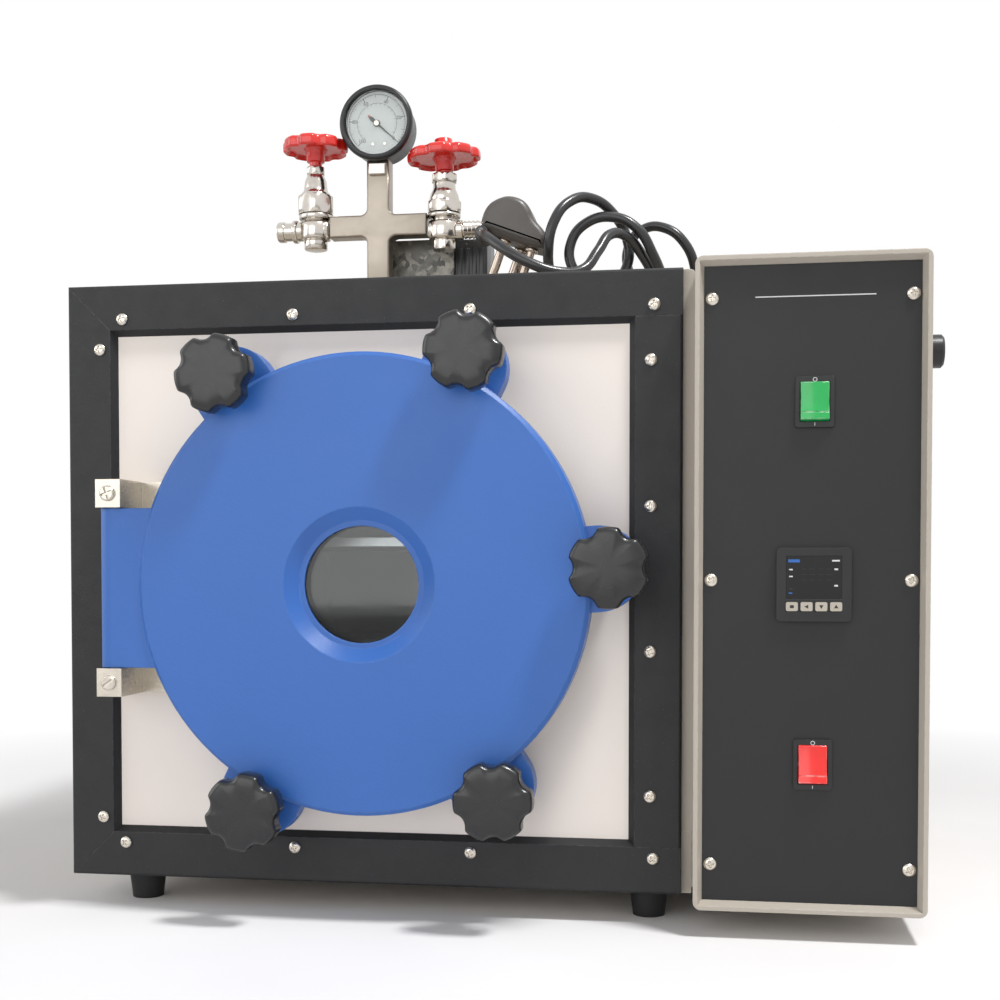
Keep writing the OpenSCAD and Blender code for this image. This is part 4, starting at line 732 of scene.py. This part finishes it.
def gauge_hand():
    """The needle with its tail and hub, and the red mark on the tail."""
    needle = GAUGE_AT @ turn(SCALE_START)
    pointer = [(0, -0.75), (17.5, -0.22), (19.6, 0), (17.5, 0.22), (0, 0.75)]
    tail = [(0, 0.8), (-4.6, 1.5), (-8.4, 0.55), (-8.4, -0.55), (-4.6, -1.5), (0, -0.8)]
    mark = [(-8.6, -0.5), (-6.8, -0.9), (-6.8, 0.9), (-8.6, 0.5)]
    bm = bmesh.new()
    for outline in (pointer, tail):
        loft(bm, [[(x, y, z) for x, y in outline] for z in (-5.65, -5.1)], needle)
    lathe(bm, [(2.6, -5.7), (2.6, -5.0), (2.2, -4.75)], 32, GAUGE_AT)
    add_piece("gauge_hand", bm, BODY["gauge_needle"], INK, replaces=("gauge_needle",))
    bm = bmesh.new()
    loft(bm, [[(x, y, z) for x, y in mark] for z in (-5.1, -5.05)], needle)
    add_piece("hand_mark", bm, BODY["gauge_needle"], MARK_RED)


gauge_bezel()
dial_print()
dial_screws()
gauge_hand()


# ---------- Screws ----------

# The control panel's face in Y, and its middle line in X
PANEL_Y = -22.0
PANEL_X = 287.5


def pan_head(bm, at, spin):
    """A pan head with a cross recess, made as one round grid with the recess pushed in."""
    n, rings = 48, 15
    radius, height = 4.0, 2.4
    flat_r, edge_drop = 1.4, 1.3
    arm_half, arm_length, recess = 0.62, 2.35, 1.15
    place = at @ turn(spin)
    angles = [math.tau * i / n for i in range(n)]
    rows = []
    for k in range(rings + 1):
        r = radius * k / rings
        crown = height - edge_drop * max(0.0, (r - flat_r) / (radius - flat_r)) ** 2.6
        row = []
        for a in angles:
            x, y = r * math.cos(a), r * math.sin(a)
            within_arm = max(0.0, min(1.0, (arm_half - min(abs(x), abs(y))) / 0.22))
            within_length = max(0.0, min(1.0, (arm_length - max(abs(x), abs(y))) / 0.5))
            row.append(bm.verts.new(place @ Vector((x, y, crown - recess * (within_arm * within_length)))))
        rows.append(row)
    rim = [(radius * math.cos(a), radius * math.sin(a), 0) for a in angles]
    rows.append([bm.verts.new(place @ Vector(p)) for p in rim])
    for a, b in zip(rows, rows[1:]):
        for i in range(n):
            j = (i + 1) % n
            bm.faces.new((a[i], b[i], b[j], a[j]))


def screws():
    """The frame's fourteen screws and the control panel's six, each turned by another angle."""
    bm = bmesh.new()
    on_frame = [(-168 + 119 * k, z) for k in range(4) for z in (397, 43)]
    on_frame += [(-184, 60), (-184, 377)]
    on_frame += [(187, 83 + 93 * k) for k in range(4)]
    for k, (x, z) in enumerate(on_frame):
        pan_head(bm, shift(x, 0, z) @ FRONT, 17 + 29 * k)
    on_control_panel = [(x, z) for x in (225.5, 345.5) for z in (45.5, 222, 395)]
    for k, (x, z) in enumerate(on_control_panel):
        pan_head(bm, shift(x, PANEL_Y, z) @ FRONT, 8 + 37 * k)
    add_piece("pan_heads", bm, ROOT, SCREW, smooth=34, replaces=("pan_head_screws",))


screws()


# ---------- Switches ----------

# Turns a side view, drawn upwards and outwards, so that its thickness runs across the panel
ACROSS = Matrix(((0, 0, 1, 0), (1, 0, 0, 0), (0, 1, 0, 0), (0, 0, 0, 1)))
ROCKER_TILT = -8


def on_panel(z):
    return shift(PANEL_X, PANEL_Y, z) @ FRONT


def rocker(name, node, z, finish):
    """A rocker of tinted plastic with soft edges, a crease and a grip band, on its pivot pin."""
    bm = bmesh.new()
    r = 11.7
    side = [(-r, -2.6), (-r, 4.0), (-r + 0.5, 4.5), (-7.3, 4.24), (-7.0, 3.9), (-6.7, 4.2), (0, 3.5),
            (r - 0.5, 4.5), (r, 4.0), (r, -2.6), (5, -9.4), (-5, -9.4)]
    loop = [(up, out, 0.0) for up, out in reversed(side)]
    edge = ((0.7, -8.7), (0.2, -8.45), (0.0, -8.0), (0.0, 8.0), (0.2, 8.45), (0.7, 8.7))
    loft(bm, [inset(loop, d, x) for d, x in edge], on_panel(z) @ turn(ROCKER_TILT, "X") @ ACROSS)
    lathe(bm, [(1.2, -9.7), (1.2, 9.7)], 24, on_panel(z) @ turn(90, "Y"))
    add_piece(name, bm, BODY[node], finish, smooth=30, replaces=(node,))


def bezel_marks(name, z):
    """The ring above the rocker and the line below it."""
    bm = bmesh.new()
    n = 32
    ring_at = on_panel(z) @ shift(0, 13.5, 2.03)
    outer, inner = [[bm.verts.new(ring_at @ Vector(p)) for p in circle(r, 0, n)] for r in (1.35, 0.95)]
    for i in range(n):
        j = (i + 1) % n
        bm.faces.new((outer[i], outer[j], inner[j], inner[i]))
    box(bm, (-0.2, -14.6, 2.0), (0.2, -12.6, 2.06), on_panel(z))
    add_piece(name + "_marks", bm, ROOT, PRINT)


def switch(name, node, z, finish):
    rocker(name, node, z, finish)
    bezel_marks(name, z)


switch("green_rocker", "mains_rocker", 330.8, GREEN)
switch("red_rocker", "heating_rocker", 108.8, ROCKER_RED)


# ---------- Temperature controller ----------

CONTROLLER_AT = on_panel(219.4)
WINDOW_Z = 3.8
PRINTED_Z = 3.88
# Captions round the display: middle in X and Y, width and height; the unlit ones are dark marks only
CAPTIONS = [(13.0, 14.6, 4.6, 1.0), (-13.8, 9.2, 2.2, 0.8), (-13.8, 5.0, 2.2, 0.8), (13.2, 9.4, 2.2, 1.0),
            (13.2, -0.6, 2.2, 1.0)]
UNLIT = [(-13.6, 14.4, 3.4, 1.0), (-13.8, -2.6, 2.2, 0.8)]
BUTTON_PITCH = 8.8
BUTTON_ROW = -13.4
SIGNS = {
    "set_button": [(-1.2, -0.9), (1.2, -0.9), (1.2, 0.9), (-1.2, 0.9)],
    "shift_button": [(1.0, -1.2), (1.0, 1.2), (-1.3, 0)],
    "down_button": [(-1.3, 0.9), (0, -1.3), (1.3, 0.9)],
    "up_button": [(-1.3, -0.9), (1.3, -0.9), (0, 1.3)],
}


def captions(bm, rows, low, high):
    for x, y, w, h in rows:
        box(bm, (x - w / 2, y - h / 2, low), (x + w / 2, y + h / 2, high), CONTROLLER_AT)


def display_marks():
    """Dark captions, and three bars for each of the four unlit digits."""
    bm = bmesh.new()
    low = WINDOW_Z - 0.01
    captions(bm, UNLIT + CAPTIONS, low, 3.86)
    for digit in range(4):
        left = -7.4 + 5 * digit
        right = -4.6 + 5 * digit
        for bar in range(3):
            y = 9.6 - 3.4 * bar
            box(bm, (left, y - 0.16, low), (right, y + 0.16, 3.83), CONTROLLER_AT)
    add_piece("display_marks", bm, ROOT, INK)


def display_print():
    bm = bmesh.new()
    captions(bm, CAPTIONS, WINDOW_Z, PRINTED_Z)
    add_piece("display_print", bm, ROOT, PRINT)


def display_flag():
    """The blue corner and the blue mark below it."""
    bm = bmesh.new()
    box(bm, (-15.4, 13.6, WINDOW_Z), (-8.6, 15.4, PRINTED_Z), CONTROLLER_AT)
    box(bm, (-15.0, -5.6, WINDOW_Z), (-13.0, -4.8, PRINTED_Z), CONTROLLER_AT)
    add_piece("display_flag", bm, ROOT, SCREEN_BLUE)


def button_signs():
    for k, (node, outline) in enumerate(SIGNS.items()):
        bm = bmesh.new()
        at = CONTROLLER_AT @ shift((k - 1.5) * BUTTON_PITCH, BUTTON_ROW, 0)
        loft(bm, [[(x, y, z) for x, y in outline] for z in (5.2, 5.24)], at)
        add_piece(node + "_sign", bm, BODY[node], INK)


display_marks()
display_print()
display_flag()
button_signs()


# ---------- Title rule and end block ----------

def title_rule():
    """The thin line under the title's place at the top of the control panel."""
    bm = bmesh.new()
    box(bm, (251.5, 395.0, -PANEL_Y), (323.5, 395.7, -PANEL_Y + 0.06), FRONT)
    add_piece("title_rule", bm, ROOT, PRINT)


def end_block():
    """The black block at the end of the terminal box, with four ribs on its front."""
    bm = bmesh.new()
    box(bm, (36.9, 120.2, ROOF + 0.3), (61.4, 154.6, ROOF + 50.4), soft=1.2)
    for k in range(4):
        left = 39.5 + 5.4 * k
        box(bm, (left, 119.6, ROOF + 6), (left + 3.2, 120.6, ROOF + 44), soft=0.3)
    add_piece("end_block", bm, ROOT, BLACK)


title_rule()
end_block()


# ---------- Plug ----------

PLUG_AT = shift(92.6, 66.0, ROOF + 0.75) @ turn(20, "Y")
PLUG_FACE = 29.0
SLEEVE_AT = shift(69.0, 50.0, 458.5) @ turn(-90, "X")


def rounded(points, times):
    """A closed outline with its corners cut off, again and again (Chaikin's way)."""
    for _ in range(times):
        out = []
        for a, b in zip(points, points[1:] + points[:1]):
            out.append((0.75 * a[0] + 0.25 * b[0], 0.75 * a[1] + 0.25 * b[1]))
            out.append((0.25 * a[0] + 0.75 * b[0], 0.25 * a[1] + 0.75 * b[1]))
        points = out
    return points


def cut(mesh_bm, cutter_bm):
    """The first mesh less the second one."""
    pair = []
    for bm in (mesh_bm, cutter_bm):
        bmesh.ops.recalc_face_normals(bm, faces=bm.faces)
        mesh = bpy.data.meshes.new("cut")
        bm.to_mesh(mesh)
        bm.free()
        obj = bpy.data.objects.new("cut", mesh)
        bpy.context.collection.objects.link(obj)
        pair.append(obj)
    change = pair[0].modifiers.new("cut", "BOOLEAN")
    change.operation = "DIFFERENCE"
    change.solver = "EXACT"
    change.object = pair[1]
    mesh = bpy.data.meshes.new_from_object(pair[0].evaluated_get(bpy.context.evaluated_depsgraph_get()))
    out = bmesh.new()
    out.from_mesh(mesh)
    bpy.data.meshes.remove(mesh)
    for obj in pair:
        data = obj.data
        bpy.data.objects.remove(obj)
        bpy.data.meshes.remove(data)
    return out


def plug_body():
    """The moulded body with its finger recess."""
    face = PLUG_FACE
    outline = [(-36, face), (6.5, face), (9.5, face + 3.5), (9.5, face + 9), (5, face + 13.5),
               (-4.5, face + 18.5), (-9, face + 24.5), (-16, face + 28.8), (-26, face + 28.4),
               (-33, face + 24), (-38.5, face + 17), (-39, face + 6)]
    loop = [(x, z, 0.0) for x, z in rounded(outline, 3)]
    edge = [(5.0, 17.0), (3.2, 16.6), (1.8, 15.8), (0.8, 14.6), (0.2, 12.8), (0.0, 10.5)]
    front_half = [inset(loop, d, -y) for d, y in edge]
    rear_half = [inset(loop, d, y) for d, y in reversed(edge)]
    bm = bmesh.new()
    loft(bm, front_half + rear_half, PLUG_AT @ FRONT)
    recess = bmesh.new()
    bmesh.ops.create_uvsphere(recess, u_segments=48, v_segments=24, radius=1.0)
    recess_size = Matrix.Diagonal((15.5, 9.5, 6.2, 1))
    place = PLUG_AT @ shift(-1.5, -13.5, face + 25.5) @ turn(48, "Y") @ recess_size
    for v in recess.verts:
        v.co = place @ v.co
    add_piece("plug_body", cut(bm, recess), BODY["mains_plug"], PLUG, smooth=38, replaces=("mains_plug",))


def plug_pins():
    """Three round pins, each with the collar that it stands in."""
    bm = bmesh.new()
    face = PLUG_FACE
    for x, y, d in ((-20, -6, 6), (0, -6, 6), (-10, 11, 7)):
        r = d / 2
        lathe(bm, [(r - 0.8, 0.0), (r - 0.3, 0.3), (r, 0.9), (r, face - 2.6), (r + 1.2, face - 2.4),
                   (r + 1.6, face - 1.9), (r + 1.6, face - 0.6), (r + 1.2, face + 0.2)], 32,
              PLUG_AT @ shift(x, y, 0))
    return add_piece("plug_pins", bm, BODY["mains_plug"], PIN, smooth=40)


def plug_sleeve():
    """The ribbed sleeve where the cord enters the plug."""
    bm = bmesh.new()
    rings = []
    for k in range(7):
        y = 2.4 * k
        wider = 0.30 * k
        rings += [(4.5 + wider, y), (4.7 + wider, y + 0.3), (4.7 + wider, y + 1.5), (4.3 + wider, y + 1.7),
                  (4.3 + wider, y + 2.2)]
    lathe(bm, rings, 32, SLEEVE_AT)
    return add_piece("plug_sleeve", bm, BODY["mains_plug"], CORD, smooth=40)


plug_body()
plug_pieces = [plug_pins(), plug_sleeve()]


# ---------- Mains cord ----------

# The cord's route in metres: from the gland to the coil, and from the coil to the plug
TAIL = [
    (0.2045, 0.257, 0.3885), (0.2045, 0.273, 0.3885), (0.203, 0.289, 0.3895), (0.198, 0.303, 0.394),
    (0.188, 0.311, 0.403), (0.173, 0.313, 0.415), (0.155, 0.307, 0.426), (0.137, 0.293, 0.433),
    (0.12, 0.273, 0.4345), (0.104, 0.25, 0.431), (0.091, 0.225, 0.427), (0.08, 0.199, 0.4245),
    (0.071, 0.173, 0.424), (0.063, 0.146, 0.424), (0.056, 0.119, 0.4245), (0.052, 0.095, 0.4285),
    (0.05, 0.074, 0.435), (0.05, 0.054, 0.4415), (0.05, 0.035, 0.445),
]
MAIN = [
    (0.05, 0.035, 0.4235), (0.0535, 0.015, 0.424), (0.068, 0.0005, 0.424), (0.0875, -0.0075, 0.424),
    (0.1065, -0.017, 0.424), (0.1205, -0.0325, 0.4245), (0.129, -0.051, 0.43), (0.131, -0.0665, 0.444),
    (0.124, -0.074, 0.462), (0.1095, -0.0735, 0.474), (0.0935, -0.0675, 0.475), (0.0825, -0.06, 0.4645),
    (0.0825, -0.0555, 0.4475), (0.092, -0.058, 0.432), (0.1055, -0.0695, 0.4245), (0.113, -0.0885, 0.424),
    (0.11, -0.1085, 0.43), (0.1035, -0.122, 0.4445), (0.093, -0.127, 0.4615), (0.076, -0.1275, 0.47),
    (0.058, -0.128, 0.4665), (0.0475, -0.13, 0.4525), (0.049, -0.1315, 0.4355), (0.0605, -0.129, 0.425),
    (0.075, -0.123, 0.426), (0.085, -0.116, 0.4385), (0.085, -0.1135, 0.4575), (0.0755, -0.1195, 0.4745),
    (0.062, -0.132, 0.482), (0.0485, -0.146, 0.477), (0.0385, -0.1545, 0.4615), (0.0345, -0.152, 0.4425),
    (0.035, -0.139, 0.428), (0.0375, -0.119, 0.4235), (0.041, -0.0975, 0.4245), (0.05, -0.079, 0.425),
    (0.0675, -0.069, 0.424), (0.087, -0.0715, 0.4235), (0.1, -0.085, 0.426), (0.1025, -0.103, 0.433),
    (0.0955, -0.117, 0.446), (0.0855, -0.13, 0.456), (0.0755, -0.145, 0.454), (0.0685, -0.156, 0.441),
    (0.0595, -0.166, 0.427), (0.044, -0.177, 0.4235), (0.025, -0.181, 0.4295), (0.008, -0.1765, 0.44),
    (-0.005, -0.165, 0.451), (-0.012, -0.147, 0.4585),
]
# The coil's middle, its radius at the middle of the cord, its lowest turn, the step of a turn and the turns
COIL_AT = (0.010, 0.035075)
COIL_R = 0.040
COIL_LOW = 0.4235
COIL_PITCH = 0.0072
TURNS = 4
POINTS_A_TURN = 16
CORD_D = 0.007
# About how long the smooth curve is, as a multiple of the straight steps between its points
CURVE_LENGTH_FACTOR = 1.012
GLAND_AT = shift(285.5, 453.0, 388.5) @ turn(-90, "X")


def coil_points():
    """The coil's turns, wound downwards from where the tail meets it to where the main stretch leaves."""
    points = []
    steps = POINTS_A_TURN * TURNS
    for k in range(steps + 1):
        a = -math.tau * k / POINTS_A_TURN
        z = COIL_LOW + COIL_PITCH * (TURNS - 1) * (1 - k / steps)
        points.append((COIL_AT[0] + COIL_R * math.cos(a), COIL_AT[1] + COIL_R * math.sin(a), z))
    return points


def mains_lead():
    """The cord as a smooth tube, and its length."""
    route = TAIL[:-1] + coil_points() + MAIN[1:]
    curve = bpy.data.curves.new("mains_lead", "CURVE")
    curve.dimensions = "3D"
    curve.bevel_depth = CORD_D / 2
    curve.bevel_resolution = 6
    curve.resolution_u = 8
    curve.use_fill_caps = True
    spline = curve.splines.new("BEZIER")
    spline.bezier_points.add(len(route) - 1)
    for point, place in zip(spline.bezier_points, route):
        point.co = place
        point.handle_left_type = point.handle_right_type = "AUTO"
    obj = bpy.data.objects.new("mains_lead", curve)
    bpy.context.collection.objects.link(obj)
    curve.materials.append(CORD)
    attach(obj, BODY["mains_cord"])
    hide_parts("mains_cord", "cord_coil")
    length = sum((Vector(b) - Vector(a)).length for a, b in zip(route, route[1:]))
    return obj, length * CURVE_LENGTH_FACTOR


def strain_relief():
    """The ribbed sleeve on the gland, narrower towards its end."""
    bm = bmesh.new()
    ribs = [(6.0, 0.0)]
    for k in range(8):
        y = 0.6 + 3.8 * k
        r = 6.4 - 0.28 * k
        ribs += [(r, y), (r, y + 2.3), (r - 0.55, y + 2.6), (r - 0.55, y + 3.5)]
    ribs += [(4.1, 31.5)]
    lathe(bm, ribs, 40, GLAND_AT)
    add_piece("strain_relief", bm, ROOT, BLACK, smooth=40)


lead, lead_length = mains_lead()
strain_relief()


# ---------- Light and surroundings ----------

def area(name, at, look, size, power):
    """A soft white lamp at one place that looks at another."""
    data = bpy.data.lights.new(name, "AREA")
    data.shape = "RECTANGLE"
    data.size, data.size_y = size
    data.energy = power
    obj = bpy.data.objects.new(name, data)
    bpy.context.collection.objects.link(obj)
    obj.location = at
    obj.rotation_euler = (Vector(look) - Vector(at)).to_track_quat("-Z", "Y").to_euler()


area("key", (0.78, -0.64, 2.05), (-0.05, -0.23, 0.22), (0.34, 0.26), 36)
area("fill", (-0.9, -2.6, 1.0), (0, 0, 0.25), (2.2, 1.8), 17)
area("side", (-2.0, -0.6, 0.9), (0, 0, 0.3), (1.2, 1.2), 8)

bpy.context.scene.view_settings.view_transform = "Standard"

SEEN_WHITE = 1.0
LIGHTING_WHITE = 0.42
# How far from the oven's middle the floor begins to fade, and where it is gone, in metres
FADE_FROM = 0.45
FADE_TO = 1.1


def surroundings():
    """White to the camera, in mirrors and through glass, and dimmer where it only lights dull surfaces."""
    world = bpy.data.worlds.new("world")
    bpy.context.scene.world = world
    world.use_nodes = True
    nodes = world.node_tree.nodes
    links = world.node_tree.links
    background = nodes["Background"]
    background.inputs["Color"].default_value = (1, 1, 1, 1)
    ray = nodes.new("ShaderNodeLightPath")
    seen = ray.outputs["Is Camera Ray"]
    for kind in ("Is Glossy Ray", "Is Transmission Ray"):
        either = nodes.new("ShaderNodeMath")
        either.operation = "MAXIMUM"
        links.new(seen, either.inputs[0])
        links.new(ray.outputs[kind], either.inputs[1])
        seen = either.outputs[0]
    level = nodes.new("ShaderNodeMapRange")
    links.new(seen, level.inputs["Value"])
    level.inputs["To Min"].default_value = LIGHTING_WHITE
    level.inputs["To Max"].default_value = SEEN_WHITE
    links.new(level.outputs[0], background.inputs["Strength"])


def paper():
    """Pale paper that runs out, away from the oven, into the white of the surroundings."""
    s = Shader("paper")
    tone = s.mix(s.ramp(s.noise(3, 3), 0.3, 0.7), srgb("#eceaea"), srgb("#f1f0f0"))
    s.set(Base_Color=tone, Roughness=0.9)
    away = s.add("VectorMath", {0: s.place}, operation="LENGTH").outputs["Value"]
    glow = s.add("Emission", {"Color": (1, 1, 1, 1), "Strength": 1.0})
    camera_ray = s.add("LightPath").outputs["Is Camera Ray"]
    blend = s.add("MixShader", {0: s.math("MULTIPLY", s.ramp(away, FADE_FROM, FADE_TO), camera_ray)})
    s.links.new(s.bsdf.outputs[0], blend.inputs[1])
    s.links.new(glow.outputs[0], blend.inputs[2])
    s.links.new(blend.outputs[0], s.nodes["Material Output"].inputs["Surface"])
    return s.mat


def table():
    mesh = bpy.data.meshes.new("floor")
    bm = bmesh.new()
    bmesh.ops.create_grid(bm, x_segments=8, y_segments=8, size=6.0)
    bm.to_mesh(mesh)
    bm.free()
    mesh.materials.append(paper())
    obj = bpy.data.objects.new("floor", mesh)
    bpy.context.collection.objects.link(obj)
    return obj


surroundings()
floor = table()
